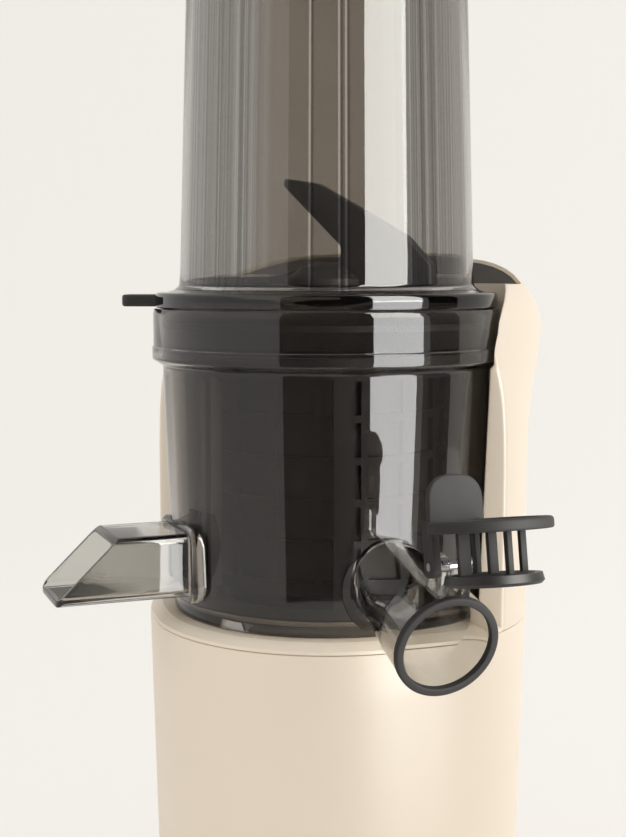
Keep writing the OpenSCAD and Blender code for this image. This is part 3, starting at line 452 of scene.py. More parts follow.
brushedSteel = metalFinish("brushedSteel", {
    "colour": "#B9BABC", "colourFar": "#A6A7A9",
    "rough": 0.32, "lineSize": 0.8, "stretch": (1, 1, 0.08)})  # turned and brushed stainless steel
meshSteelPaintedShade = metalFinish("meshSteelPaintedShade", {
    "colour": "#4A4745", "colourFar": "#3C3A38",
    "rough": 0.5, "lineSize": 0.9, "stretch": (1, 1, 1)})  # etched stainless mesh, painted dark for the shade seen through its holes and inside the bowl
zincScrew = metalFinish("zincScrew", {
    "colour": "#A3A4A6", "colourFar": "#8F9092",
    "rough": 0.38, "lineSize": 0.8, "stretch": (1, 1, 1)})  # zinc plated steel
motorSteel = metalFinish("motorSteel", {
    "colour": "#8D8F92", "colourFar": "#7D7F82",
    "rough": 0.45, "lineSize": 1.5, "stretch": (1, 1, 0.3)})  # rolled steel of the motor
enamelledCopper = metalFinish("enamelledCopper", {
    "colour": "#B5673A", "colourFar": "#9C5630",
    "rough": 0.4, "lineSize": 0.9, "stretch": (0.2, 0.2, 1)})  # lacquered copper wire
print("materials made")

# nodes that keep their CAD shape
keptFinishes = {
    "base_cover": darkAbs, "rubber_feet": feetRubber, "top_deck": creamAbs,
    "cord_gland": feetRubber, "housing_screws": zincScrew, "lock_switch": darkAbs,
    "circuit_board": boardLaminate,
    "control_switch": darkAbs, "knob_bezel": brushedSteel, "motor_can": motorSteel, "motor_end_cap": darkAbs,
    "motor_rotor": enamelledCopper, "cooling_fan": darkAbs, "gearbox_case": darkAbs, "gearbox_lid": darkAbs,
    "gearbox_screws": zincScrew, "gearbox_posts": darkAbs, "idler_pin": brushedSteel, "idler_gear": whitePom,
    "lower_bearing": brushedSteel, "upper_bearing": brushedSteel, "deck_seal": sealSilicone,
    "drive_shaft": brushedSteel, "output_gear": whitePom, "bowl_seal": sealSilicone, "cap_seal": sealSilicone,
    "cap_hinge_pin": brushedSteel, "pulp_gasket": sealSilicone, "brush_pinion": whitePom,
    "pinion_pin": brushedSteel, "brush_frame": cagePpPaintedShade, "strainer_cage": cagePpPaintedShade, "strainer_mesh": meshSteelPaintedShade,
    "auger": augerPei, "auger_socket": brushedSteel, "auger_seal": sealSilicone, "lid_seal": sealSilicone,
    "cover_hinge_pin": brushedSteel}
for nodeName, finish in keptFinishes.items():
    slots = nodes[nodeName].data.materials
    if len(slots) == 0:
        slots.append(finish)
    for i in range(len(slots)):
        slots[i] = finish

# drive housing
housing = {"frontRadius": 74, "rearRadius": 82, "rearCentre": 12.5, "taper": 4.5, "foot": 4, "wall": 3,
           "edge": 0.9, "around": 240, "footRound": 6, "footTuck": 5, "step": 20, "cutIn": 3, "rearCutIn": 6,
           "knobHeight": 62, "knobHole": 19.2, "ventHeight": 70, "ventPitch": 9, "ventWidth": 4,
           "ventLength": 22, "glandHeight": 26, "glandRadius": 6.1}


def ovalRing(inset, z):
    # two circles and the straight runs that join them
    front = housing["frontRadius"] - inset
    rear = housing["rearRadius"] - inset
    ring = []
    for k in range(housing["around"]):
        angle = 2 * math.pi * k / housing["around"]
        onRear = housing["rearCentre"] * math.sin(angle) + rear > front
        radius, centre = (rear, housing["rearCentre"]) if onRear else (front, 0)
        ring.append((radius * math.cos(angle), centre + radius * math.sin(angle), z))
    return ring


def taperAt(z):
    return housing["taper"] * (height["parting"] - z) / height["parting"]


def makeHousing():
    h = housing
    top, wall, edge, foot, tuck = height["parting"], h["wall"], h["edge"], h["foot"], h["footTuck"]
    levels = [(foot, taperAt(0) + tuck)]
    for k in range(1, 7):  # the rounded foot
        a = math.pi / 2 * k / 6
        levels.append((foot + h["footRound"] * (1 - math.cos(a)), taperAt(0) + tuck * (1 - math.sin(a))))
    levels += [(z, taperAt(z)) for z in range(h["step"], top - 5, h["step"])]
    levels += [(top - edge, 0), (top - edge * 0.3, edge * 0.3), (top, edge), (top, wall)]
    levels += [(z, taperAt(z) + wall) for z in range(top - 10, 15, -h["step"])]
    levels += [(foot + h["footRound"], taperAt(0) + wall), (foot, taperAt(0) + tuck + 0.4)]
    shell = loft("housingShell", [ovalRing(inset, z) for z, inset in levels], True)
    # the middle of each cut
    front, rear = -h["frontRadius"] + h["cutIn"], h["rearCentre"] + h["rearRadius"] - h["rearCutIn"]
    combine(shell, bar("knobHole", h["knobHole"], -12, 12, 64, shift(0, front, h["knobHeight"]) @ alongY),
            "DIFFERENCE")
    combine(shell, bar("glandHole", h["glandRadius"], -15, 15, 32, shift(0, rear, h["glandHeight"]) @ alongY),
            "DIFFERENCE")
    w, l = h["ventWidth"] / 2, h["ventLength"] / 2
    outline = roundCorners([(-w, -l, w), (w, -l, w), (w, l, w), (-w, l, w)], 5)
    for k in range(-3, 4):
        slot = upright("ventSlot", outline, -15, 15, shift(k * h["ventPitch"], rear, h["ventHeight"]))
        combine(shell, slot, "DIFFERENCE")
    dress(shell, creamAbs, "base", ["base_housing"])


makeHousing()
print("housing made")

# column behind the bowl
bowl = {"footRadius": 65.5, "topRadius": 69.3, "collarRadius": 73.7, "collarBore": 70.2, "collarDrop": 7,
        "wall": 3, "floor": 3.7, "tube": 11.5, "tubeWall": 2.5, "tubeRise": 4, "spigot": 34.3,
        "spigotWall": 4.3, "spigotRise": 3.3, "juiceHole": 11.2, "pulpEdge": 4}
# its outline leans back as it rises: (height over the parting line, share of the lean), then the dome's steps
column = {"gap": 4, "collarBore": 75.2, "shelf": 287, "shelfRise": 2, "lipY": -4, "lean": 19.5, "dome": 32,
          "shrink": 43, "back": 18, "lipRound": 3.2, "rim": 1.2, "fit": 0.15, "ledge": 85, "ledgeDepth": 12,
          "steps": 88, "levelStep": 3, "smoothReach": 9,
          "leanKeys": ((0.4, 0), (12, 0), (45, -0.05), (70, -0.06), (83, 0.03), (93, 0.18), (101, 0.4),
                       (107, 0.62), (109, 0.7), (115, 0.88), (121, 1.0)),
          "domeKeys": (0, 0.15, 0.3, 0.42, 0.54, 0.65, 0.75, 0.83, 0.9, 0.95, 0.98, 1)}


def bowlRadius(z):
    # the bowl's outside
    b = bowl
    t = (z - height["bowl"]) / (height["collar"] - b["collarDrop"] - height["bowl"])
    return b["footRadius"] + (b["topRadius"] - b["footRadius"]) * min(max(t, 0), 1)


def boreAt(z):
    # the hollow face follows the bowl's body, and opens out for the collar
    c = column
    body = bowlRadius(z) + c["gap"]
    if z <= c["shelf"]:
        return body
    t = min((z - c["shelf"]) / c["shelfRise"], 1)
    return body + (c["collarBore"] - body) * t


def columnLevels():
    # (height, centre behind the axis, radius), run smoothly through the solid's own levels
    c, y, radius = column, housing["rearCentre"], housing["rearRadius"]
    keys = [(height["parting"] + rise, y + c["lean"] * lean) for rise, lean in c["leanKeys"]]
    rough = []
    for (z0, y0), (z1, y1) in zip(keys, keys[1:]):
        parts = max(2, round((z1 - z0) / c["levelStep"]))
        rough += [(z0 + (z1 - z0) * k / parts, y0 + (y1 - y0) * k / parts) for k in range(parts)]
    levels = [(z, smoothedAt(rough, z), radius) for z, _ in rough]
    low = height["columnTop"] - c["dome"]
    for k in c["domeKeys"]:
        levels.append((low + c["dome"] * k, y + c["lean"] + c["back"] * k * k,
                       radius - c["shrink"] * (1 - math.sqrt(1 - k * k))))
    return levels


def smoothedAt(rough, z):
    near = [(max(1 - abs(level - z) / column["smoothReach"], 0), centre) for level, centre in rough]
    return sum(w * centre for w, centre in near) / sum(w for w, _ in near)


def crescentRing(centre, radius, bore, z, lipRound, lipInset):
    c = column
    meet = (centre ** 2 - (radius ** 2 - bore ** 2)) / (2 * centre)
    lip = max(c["lipY"] + lipInset, meet + 1)
    outer = math.asin((lip - centre) / radius)
    inner = math.asin(lip / bore)
    roundings = [lipRound] + [0] * (c["steps"] - 1) + [lipRound]
    corners = []
    for k, rounding in enumerate(roundings):
        a = outer + (math.pi - 2 * outer) * k / c["steps"]
        corners.append((radius * math.cos(a), centre + radius * math.sin(a), rounding))
    for k, rounding in enumerate(roundings):
        a = math.pi - inner - (math.pi - 2 * inner) * k / c["steps"]
        corners.append((bore * math.cos(a), bore * math.sin(a), rounding))
    return [(x, y, z) for x, y in roundCorners(corners, 3)]


def columnSolid(name, inset, drop=0):
    c = column
    rounding = c["lipRound"] if inset == 0 else 0.2
    rings = [crescentRing(centre, radius - inset, boreAt(z) + inset, z - drop, rounding, inset)
             for z, centre, radius in columnLevels()]
    return loft(name, rings)


def aboveLedge(low):
    return boxed("inlayKeep", (-120, -20, low), (120, 150, low + 60), 0.01, segments=1)


def makeColumn():
    c = column
    ledge = height["columnTop"] - c["ledgeDepth"]
    shell = columnSolid("columnShell", 0)
    combine(shell, bar("inlayLedge", c["ledge"], ledge, ledge + 60, 160), "DIFFERENCE")
    hollow = columnSolid("inlayPocket", c["rim"], c["rim"])
    combine(hollow, aboveLedge(ledge), "INTERSECT")
    combine(shell, hollow, "DIFFERENCE")
    dress(shell, creamAbs, "base", ["rear_column"])
    inset = c["rim"] + c["fit"]
    inlay = columnSolid("columnInlayFace", inset, inset)
    # the bore comes out first, because the other order leaves nothing
    combine(inlay, bar("inlayBore", c["ledge"] + 0.2, ledge - 5, ledge + 60, 160), "DIFFERENCE")
    combine(inlay, aboveLedge(ledge + 0.1), "INTERSECT")
    dress(inlay, inlayAbs, "base", ["column_inlay"])


makeColumn()
print("column made")


# bowl
def makeBowl():
    b, p, z0, zc, z1 = bowl, pulp, height["bowl"], height["collar"], height["collarTop"]
    inner, floor, bore, top = b["footRadius"] - b["wall"], z0 + b["floor"], b["collarBore"], b["topRadius"]
    ridge, step, tubeInside = z0 + b["spigotRise"], b["collarRadius"] - 0.5, b["tube"] - b["tubeWall"]
    groove = b["spigot"] - b["spigotWall"]
    profile = roundCorners([
        (tubeInside, z0, 0.3), (groove, z0, 0.3), (groove, ridge, 0.3), (b["spigot"], ridge, 0.3),
        (b["spigot"], z0, 0.3), (b["footRadius"], z0, 2.2), (top - 0.1, zc - b["collarDrop"], 3),
        (top, zc - 2.6, 2.2), (b["collarRadius"], zc, 1.2), (b["collarRadius"], zc + 5, 0.3),
        (step, zc + 5.4, 0.3), (step, z1 - 2, 0.5), (step - 0.4, z1, 0.8), (bore, z1, 0.6),
        (bore, zc + 0.1, 0.8), (top - b["wall"], zc + 0.1, 0.8), (inner, floor + 3, 3), (inner - 3, floor, 3),
        (b["tube"], floor, 0.8), (b["tube"], floor + b["tubeRise"], 0.5),
        (tubeInside, floor + b["tubeRise"], 0.5)])
    shell = turn("bowlShell", profile, 192)
    alongSpout = aimed(juiceDirection) @ juiceFrame() @ alongX
    combine(shell, bar("juiceHole", b["juiceHole"], -70, -30, 48, alongSpout), "DIFFERENCE")
    w = p["width"] / 2 - b["pulpEdge"]
    low, high = p["floor"] + p["wall"], p["floor"] + p["height"] - p["wall"]
    combine(shell, boxed("pulpHole", (50, -w, low), (80, w, high), 2.5, aimed(pulpDirection)), "DIFFERENCE")
    dress(shell, smokedBowlTritan, "base", ["juicing_bowl"])


# spouts
spout = {"reach": 118, "height": 193, "tilt": 17, "mouthRadius": 19.8, "mouthBore": 17.2, "rootRadius": 14,
         "rootBore": 11, "root": -62, "taperEnd": -18, "straight": 17, "hingeBack": -6, "hingeUp": 30,
         "hingeRound": 4, "lugIn": 3, "lugWidth": 3, "swing": 117, "bossHeight": 203.4, "bossRadius": 18.6,
         "rimLength": 2.6, "rimProud": 0.25}
pulp = {"reach": 120, "width": 38, "height": 26, "floor": 195, "roof": 95, "wall": 2.4, "corner": 4,
        "tipRound": 7, "padSide": 6, "padTop": 2.6, "padRound": 9, "padProud": 1.6}


def juiceFrame():
    # local +X runs out along the spout from the middle of its mouth
    return shift(spout["reach"], 0, spout["height"]) @ Matrix.Rotation(math.radians(spout["tilt"]), 4, "Y")


def bowlCone(grow=0.1):
    # the bowl's outside, for trimming what stands on it
    b, low, bend = bowl, height["bowl"], height["collar"] - bowl["collarDrop"]
    foot, top = b["footRadius"] + grow, b["topRadius"] + grow
    return turnSolid("bowlTrim", [(0, low - 30), (foot, low - 30), (foot, low), (top, bend),
                                  (top, height["collar"] + 40), (0, height["collar"] + 40)], 192)


def makeJuiceSpout():
    s = spout
    frontwards = aimed(juiceDirection) @ juiceFrame()
    place = frontwards @ alongX
    mouth, bore, root = s["mouthRadius"], s["mouthBore"], s["root"]
    tube = turn("juiceSpoutTube", roundCorners([
        (s["rootRadius"], root, 0), (mouth - 0.8, s["taperEnd"], 8), (mouth, -1, 0.9), (mouth - 0.6, 0, 0.8),
        (bore, 0, 0.6), (bore, -s["straight"], 4), (s["rootBore"], root, 0)], 5), 128, place)
    combine(tube, bowlCone(), "DIFFERENCE")
    lugs = []
    u, v, r = s["hingeBack"], s["hingeUp"], s["hingeRound"]
    outline = roundCorners([(u - 7, 17.6, 0), (u + 5, 18.3, 0), (u + r, v, 0), (u + r, v + r, r),
                            (u - r, v + r, r), (u - r, v, 0)], 6)
    for side in (-1, 1):
        y = side * (s["lugIn"] + s["lugWidth"] / 2)
        lug = upright("spoutLug", outline, y - s["lugWidth"] / 2, y + s["lugWidth"] / 2, frontwards)
        roundEdges(lug, 0.35, 2)
        lugs.append(lug)
    joinPieces(tube, lugs)
    dress(tube, clearSpoutTritan, "base", ["juice_spout"])
    r = s["bossRadius"]
    boss = turnRounded("juiceSpoutBoss", [
        (0.5, 50, 0), (r, 50, 0), (r, 64.8, 1.2), (r - 1.4, 66.6, 2), (15.2, 68.2, 2), (0.5, 69.4, 0)],
        96, aimed(juiceDirection) @ shift(0, 0, s["bossHeight"]) @ alongX)
    combine(boss, bowlCone(0.12), "DIFFERENCE")
    way = turnSolid("tubeWay", [(0, root), (s["rootRadius"] + 0.1, root), (mouth - 0.7, s["taperEnd"]),
                                (0, s["taperEnd"])], 128, place)
    combine(boss, way, "DIFFERENCE")
    dress(boss, smokedBowlTritan, "base", ())
    inner, outer, back = bore - 0.15, mouth + s["rimProud"], -s["rimLength"]
    rim = turn("juiceSpoutRim", roundCorners([(inner, back, 0.3), (outer, back, 0.5), (outer, 0.2, 0.9),
                                              (inner, 0.2, 0.6)]), 128, place)
    dress(rim, darkAbs, "base", ())


def ductSection(inset, radius, x):
    p = pulp
    w, h = p["width"] / 2 - inset, p["height"] / 2 - inset
    middle = p["floor"] + p["height"] / 2
    outline = roundCorners([(-w, -h, radius), (w, -h, radius), (w, h, radius), (-w, h, radius)], 6)
    return [(x, y, middle + z) for y, z in outline]


def makePulpSpout():
    p = pulp
    place = aimed(pulpDirection)
    low, high, reach, half = p["floor"], p["floor"] + p["height"], p["reach"], p["width"] / 2
    duct = loft("pulpSpoutDuct", [ductSection(0, p["corner"], x) for x in (50, 80, 125)], False, place)
    bore = loft("pulpBore", [ductSection(p["wall"], 2.4, x) for x in (45, 80, 130)], False, place)
    combine(duct, bore, "DIFFERENCE")
    side = [(p["roof"], high + 1), (p["roof"], high), (reach - 0.1, low + 2), (reach, low + 1.6),
            (reach, low - 2), (reach + 20, low - 2), (reach + 20, high + 1)]
    combine(duct, upright("slantCut", side, -30, 30, place), "DIFFERENCE")
    combine(duct, bowlCone(), "DIFFERENCE")
    plan = roundCorners([(40, -30, 0), (reach, -half, p["tipRound"]), (reach, half, p["tipRound"]),
                         (40, 30, 0)], 7)
    plan[0], plan[-1] = Vector((40, -half)), Vector((40, half))
    keep = loft("tipKeep", [[(x, y, z) for x, y in plan] for z in (low - 1, high + 1)], False, place)
    combine(duct, keep, "INTERSECT")
    roundEdges(duct, 0.5, 3, 40)
    dress(duct, clearSpoutTritan, "base", ["pulp_spout"])
    w, h, r = half + p["padSide"], p["height"] / 2 + p["padTop"], p["padRound"]
    outline = roundCorners([(-w, -h, r), (w, -h, r), (w, h, r), (-w, h, r)], 7)
    standing = Matrix(((0, 0, 1, 0), (1, 0, 0, 0), (0, 1, 0, 0), (0, 0, 0, 1)))  # Z to X, X to Y, Y to Z
    flange = slab("pulpSpoutPad", outline, 50, bowl["footRadius"] + p["padProud"], 1.4,
                  place @ shift(0, 0, (low + high) / 2) @ standing)
    hole = loft("flangeHole", [ductSection(-0.05, p["corner"], x) for x in (40, 90)], False, place)
    combine(flange, hole, "DIFFERENCE")
    combine(flange, bowlCone(0.15), "DIFFERENCE")
    dress(flange, smokedBowlTritan, "base", ())


makeBowl()
makeJuiceSpout()
makePulpSpout()
print("bowl and spouts made")

# cap of the juice spout, open
cap = {"radius": 21, "inner": 6, "thick": 4, "rimWidth": 4.5, "dish": 0.6, "plug": -12, "plugRadius": 13.7,
       "plugThick": 4, "ribs": 2, "post": 2.6, "ribSpans": ((-12.7, -8.3), (-1.7, 1.7), (10.3, 12.7)),
       "paddleWidth": 21.5, "paddleLength": 16, "paddleThick": 3, "armWidth": 3, "armFoot": 15, "armGap": 0.3}


def capPlace():
    s = spout
    return (aimed(juiceDirection) @ juiceFrame() @ shift(s["hingeBack"], 0, s["hingeUp"])
            @ Matrix.Rotation(math.radians(-s["swing"]), 4, "Y") @ shift(-s["hingeBack"], 0, -s["hingeUp"]))


def makeCap():
    c, s, place = cap, spout, capPlace()
    radius, near, far, plug = c["radius"], c["inner"], c["inner"] + c["thick"], c["plug"]
    plate = turnRounded("juiceCapPlate", [
        (0.5, near, 0), (radius, near, 1.1), (radius, far, 1.5), (radius - c["rimWidth"], far, 0.6),
        (radius - c["rimWidth"] - 0.5, far - c["dish"], 0.4), (0.5, far - c["dish"], 0)], 96, place @ alongX)
    parts = [turnRounded("capPlug", [
        (0.5, plug, 0), (c["plugRadius"], plug, 0.6), (c["plugRadius"], plug + c["plugThick"], 0.6),
        (0.5, plug + c["plugThick"], 0)], 72, place @ alongX, 3)]
    reach, half, low, high = c["plugRadius"] - 1, c["ribs"] / 2, plug + c["plugThick"] - 0.2, near + 0.2
    for start, end in c["ribSpans"]:
        parts.append(boxed("capRib", (low, start, -half), (high, end, half), 0.3, place))
    for start, end in ((-reach, -reach + c["post"]), (reach - c["post"], reach)):
        parts.append(boxed("capPost", (low, -half, start), (high, half, end), 0.3, place))
    u, v, r = s["hingeBack"], s["hingeUp"], s["hingeRound"]
    outline = roundCorners([(near, c["armFoot"], 0.5), (far, c["armFoot"], 0.5), (far, v + r, 3.5),
                            (u - r, v + r, r), (u - r, v - r, r), (near, v - r, 2)], 5)
    for side in (-1, 1):
        y = side * (s["lugIn"] + s["lugWidth"] + c["armGap"] + c["armWidth"] / 2)
        arm = upright("capArm", outline, y - c["armWidth"] / 2, y + c["armWidth"] / 2, place)
        roundEdges(arm, 0.4, 2)
        parts.append(arm)
    w, tip, low = c["paddleWidth"] / 2, far + c["paddleLength"], radius + 3
    outline = roundCorners([(near, -w, 0), (tip, -w, w * 0.98), (tip, w, w * 0.98), (near, w, 0)], 12)
    parts.append(slab("capPaddle", outline, low, low + c["paddleThick"], 1.0, place))
    joinPieces(plate, parts)
    dress(plate, darkAbs, "cap", ["juice_cap"])


makeCap()
print("cap made")

# lid and hopper
hopper = {"footRadius": 62, "topRadius": 57.5, "wall": 2.6, "flare": 2.2, "seat": 1.2, "collar": 1.5,
          "rimRadius": 72.2, "skirtRadius": 69.4, "skirtWall": 3, "skirtFoot": 3.6, "tabReach": 86,
          "tabWidth": 18, "tabThick": 5, "tabDirection": 203, "lugSide": 14, "lugWidth": 6, "lugReach": 8.5}
cover = {"gap": 0.3, "thick": 3.2, "dish": 0.9, "skirtGap": 0.6, "skirtWall": 2, "skirtDepth": 5,
         "barrelRadius": 3, "barrelLength": 20, "hingeOut": 5.5, "gripWidth": 18, "gripReach": 7,
         "notchWidth": 7}


def hopperRadius(z):
    t = (z - height["lidTop"]) / (height["hopperTop"] - height["lidTop"])
    return hopper["footRadius"] + (hopper["topRadius"] - hopper["footRadius"]) * t


def makeHopper():
    h, z0, z1, z2 = hopper, height["lid"], height["lidTop"], height["hopperTop"]
    foot, top, wall, seat = h["footRadius"], h["topRadius"], h["wall"], z1 + h["seat"]
    inside = [(hopperRadius(z) - wall, z, 0) for z in (z2 - 3.9, z2 - 40, z1 + 60, z1 + 4)]
    shell = turn("hopperShell", roundCorners([
        (foot + h["flare"], seat, 0), (foot + 0.3, seat + 1.4, 2.5), (hopperRadius(z1 + 8), z1 + 8, 0),
        (hopperRadius(z1 + 60), z1 + 60, 0), (top, z2 - 2.4, 0.6), (top + h["collar"], z2 - 1.8, 0.5),
        (top + h["collar"], z2, 0.7), (top - wall, z2, 0.6)] + inside + [(foot - wall, seat, 0)]), 240)
    skirt, rim, low = h["skirtRadius"], h["rimRadius"], height["collar"] + h["skirtFoot"]
    lidRing = turn("lidRing", roundCorners([
        (skirt - h["skirtWall"], low, 0.6), (skirt, low, 0.6), (skirt, z0, 0.2), (rim, z0, 1), (rim, z1, 1.9),
        (foot + 5.5, z1 + 0.1, 2), (foot + h["flare"], seat - 0.1, 0.6), (foot - wall, seat - 0.1, 0.4),
        (foot - wall, z1 - 2, 2), (skirt - h["skirtWall"], z0 - 3, 3)]), 192)
    dress(lidRing, smokedLidTritan, "lid", ())
    lugs = []
    for middle in (-h["lugSide"], h["lugSide"]):
        left, right = middle - h["lugWidth"] / 2, middle + h["lugWidth"] / 2
        lugs.append(boxed("coverLug", (left, top - 1.4, z2 - 9), (right, top + h["lugReach"], z2 + 3), 1.0))
    joinPieces(shell, lugs)
    dress(shell, smokedHopperTritan, "lid", ["hopper_lid"])
    w, low = h["tabWidth"] / 2, z0 + 0.4
    outline = roundCorners([(rim - 2.5, -w, 0), (h["tabReach"], -w, 3), (h["tabReach"], w, 3),
                            (rim - 2.5, w, 0)], 5)
    tab = slab("lidTab", outline, low, low + h["tabThick"], 1.1, aimed(h["tabDirection"]))
    dress(tab, blackAbs, "lid", ())


def makeHopperCover():
    c, h, z = cover, hopper, height["hopperTop"]
    top, radius, low = h["topRadius"], h["topRadius"] + h["collar"], z + c["gap"]
    high, dish = low + c["thick"], low + c["thick"] - c["dish"]
    disc = turnRounded("hopperCoverDisc", [
        (1, low, 0), (radius, low, 0.5), (radius, high, 1.2), (radius - 9, high, 1), (radius - 11, dish, 1),
        (1, dish, 0)], 160)
    outer, foot = top - h["wall"] - c["skirtGap"], z - c["skirtDepth"]
    inner = outer - c["skirtWall"]
    skirt = turn("coverSkirt", roundCorners([
        (inner, z + 0.5, 0), (inner, foot, 0.5), (outer, foot, 0.5), (outer, z + 0.5, 0)], 3), 160)
    half, r, hinge = c["barrelLength"] / 2, c["barrelRadius"], top + c["hingeOut"]
    barrel = turnRounded("coverBarrel", [(0.5, -half, 0), (r, -half, 0.5), (r, half, 0.5), (0.5, half, 0)],
                         32, shift(0, hinge, z) @ alongX, 3)
    bridge = boxed("coverBridge", (-half, top - 1, low), (half, hinge, high - 0.1), 0.8)
    grip = boxed("coverGrip", (-c["gripWidth"] / 2, -top - c["gripReach"], low + 0.1),
                 (c["gripWidth"] / 2, -top + 2, high - 0.1), 1.2)
    for middle in (-h["lugSide"], h["lugSide"]):
        left, right = middle - c["notchWidth"] / 2, middle + c["notchWidth"] / 2
        notch = boxed("coverNotch", (left, top - 2.2, z - 1), (right, top + 20, z + 8), 0.01)
        combine(disc, notch, "DIFFERENCE")
    joinPieces(disc, [skirt, barrel, bridge, grip])
    dress(disc, smokedCoverTritan, "cover", ["hopper_cover"])


makeHopper()
makeHopperCover()
print("hopper made")

# cutting wing, wipers and knob
# a blade is its direction, its thickness and its outline; the tall one reaches back over the hub,
# and the low one only clears the floor
wing = {"foot": 315.35, "hub": 17.5, "hubTop": 14, "blades": (
    (-6, 6, ((-3, 2, 0), (49.4, 2, 2), (49.4, 13, 4), (38, 25, 12), (16, 37, 12), (-4, 47.5, 8),
             (-19.5, 50, 1.5), (-19.5, 46.5, 1.5), (8.5, 20.5, 4), (7.5, 13, 3), (-3, 12, 0))),
    (150, 5, ((0, 2, 0), (41.4, 2, 2), (41.4, 6, 3), (16, 12, 5), (0, 12, 0))))}


def makeWing():
    g, top = wing, wing["hubTop"]
    hub = turnRounded("augerWingBlades", [
        (0.5, 0, 0), (g["hub"], 0, 0.6), (g["hub"], 6, 3), (11, top - 2, 4), (5, top, 3), (0.5, top, 0)],
        64, shift(0, 0, g["foot"]), 5)
    blades = []
    for direction, thick, corners in g["blades"]:
        blade = upright("wingBlade", roundCorners(corners, 5), -thick / 2, thick / 2,
                        shift(0, 0, g["foot"]) @ aimed(direction))
        roundEdges(blade, 0.9, 3)
        blades.append(blade)
    joinPieces(hub, blades)
    dress(hub, augerPei, "auger_drive", ["auger_wing"])


# a wiper is an inner and an outer strip, each from one radius to another and with its thickness
wiper = {"count": 3, "foot": 199, "top": 282.3, "strips": ((53, 57, 2.4), (60, 61.9, 2))}


def makeWipers():
    parts = []
    low, high = wiper["foot"], wiper["top"]
    for k in range(wiper["count"]):
        for near, far, thick in wiper["strips"]:
            outline = roundCorners([(near, low, 0.6), (far, low, 0.6), (far, high, 1.8), (near, high, 1.8)])
            parts.append(upright("wiperBlade" if parts else "wiperBlades", outline, -thick / 2, thick / 2,
                                 aimed(k * 360 / wiper["count"])))
    joinPieces(parts[0], parts[1:])
    dress(parts[0], sealSilicone, "brush", ["brush_blades"])


knob = {"radius": 17, "stand": 14, "height": 62, "grips": 40, "gripDepth": 0.35, "core": 3, "markWidth": 1.6,
        "markLength": 5.6}


def knobShape(radius, angle):
    # shallow grips round the knob's side
    k = knob
    if abs(radius - k["radius"]) > 0.02:
        return radius
    return radius - k["gripDepth"] * (0.5 + 0.5 * math.cos(k["grips"] * angle))


def makeKnob():
    k, r, stand = knob, knob["radius"], knob["stand"]
    front = -housing["frontRadius"] + taperAt(k["height"])
    facing = shift(0, front, k["height"]) @ Matrix.Rotation(math.radians(90), 4, "X")
    body = turn("knobBody", roundCorners([
        (0.6, -2, 0), (r - 1, -2, 0.4), (r, -1, 0), (r, stand - 2.4, 0), (r - 0.8, stand - 0.6, 0.8),
        (r - 2.4, stand, 1.2), (2.6, stand - 0.5, 0), (0.6, stand - 0.5, 0)]), 320, facing, knobShape)
    half, end = k["markWidth"] / 2, r - 3.4
    mark = boxed("knobMark", (-half, end - k["markLength"], stand - 1), (half, end, stand - 0.1), 0.2, facing)
    # the core stands just proud of the dished face
    joinPieces(body, [bar("knobCore", k["core"], -12, stand - 0.4, 32, facing)])
    dress(body, creamAbs, "knob", ["control_knob"])
    dress(mark, darkAbs, "knob", ())


makeWing()
makeWipers()
makeKnob()
print("inner pieces and knob made")

# studio, with its sizes in metres and the paper's tooth in millimetres
studio = {"width": 6, "depth": 1.6, "front": 2.5, "wallHeight": 3.2, "bend": 0.7, "bendSteps": 12,
          "colour": "#F1EEEA", "seenColour": "#F8F5EF", "seenShare": 0.55, "tooth": 2.5, "sky": "#FCFBFA",
          "skyStrength": 0.93}


def addPlainMesh(name, points, faces, material):
    mesh = bpy.data.meshes.new(name)
    mesh.from_pydata(points, [], faces)
    mesh.materials.append(material)
    obj = bpy.data.objects.new(name, mesh)
    bpy.context.scene.collection.objects.link(obj)
    return obj


def makeSweepPaper():
    # uncoated paper, flat with a fine tooth; the camera and clear plastic see it evenly lit
    s = studio
    material, tree = startMaterial("sweepPaper")
    tooth = speckle(tree, s["tooth"])
    bump = addNode(tree, "ShaderNodeBump", {"Strength": 0.05, "Distance": 2 * fineRelief},
                   {"Height": tooth.outputs["Fac"]})
    paper = addNode(tree, "ShaderNodeBsdfDiffuse", {"Color": linearColour(s["colour"])},
                    {"Normal": bump.outputs["Normal"]})
    seen = addNode(tree, "ShaderNodeEmission", {"Color": linearColour(s["seenColour"]), "Strength": 1.0})
    path = addNode(tree, "ShaderNodeLightPath")
    either = addNode(tree, "ShaderNodeMath", {"operation": "MAXIMUM"},
                     {0: path.outputs["Is Camera Ray"], 1: path.outputs["Is Transmission Ray"]})
    share = addNode(tree, "ShaderNodeMath", {"operation": "MULTIPLY", 1: s["seenShare"]},
                    {0: either.outputs[0]})
    mixed = addNode(tree, "ShaderNodeMixShader", None,
                    {0: share.outputs[0], 1: paper.outputs["BSDF"], 2: seen.outputs["Emission"]})
    addNode(tree, "ShaderNodeOutputMaterial", None, {"Surface": mixed.outputs["Shader"]})
    return material


def makeSweep():
    # a seamless paper sweep: floor, bend and wall
    s = studio
    line = [(-s["front"], 0)]
    for k in range(s["bendSteps"] + 1):
        a = math.pi / 2 * k / s["bendSteps"]
        line.append((s["depth"] - s["bend"] + s["bend"] * math.sin(a), s["bend"] * (1 - math.cos(a))))
    line.append((s["depth"], s["wallHeight"]))
    points = [(x, y, z) for y, z in line for x in (-s["width"] / 2, s["width"] / 2)]
    faces = [(2 * i, 2 * i + 1, 2 * i + 3, 2 * i + 2) for i in range(len(line) - 1)]
    addPlainMesh("paperSweep", points, faces, makeSweepPaper()).data.shade_smooth()


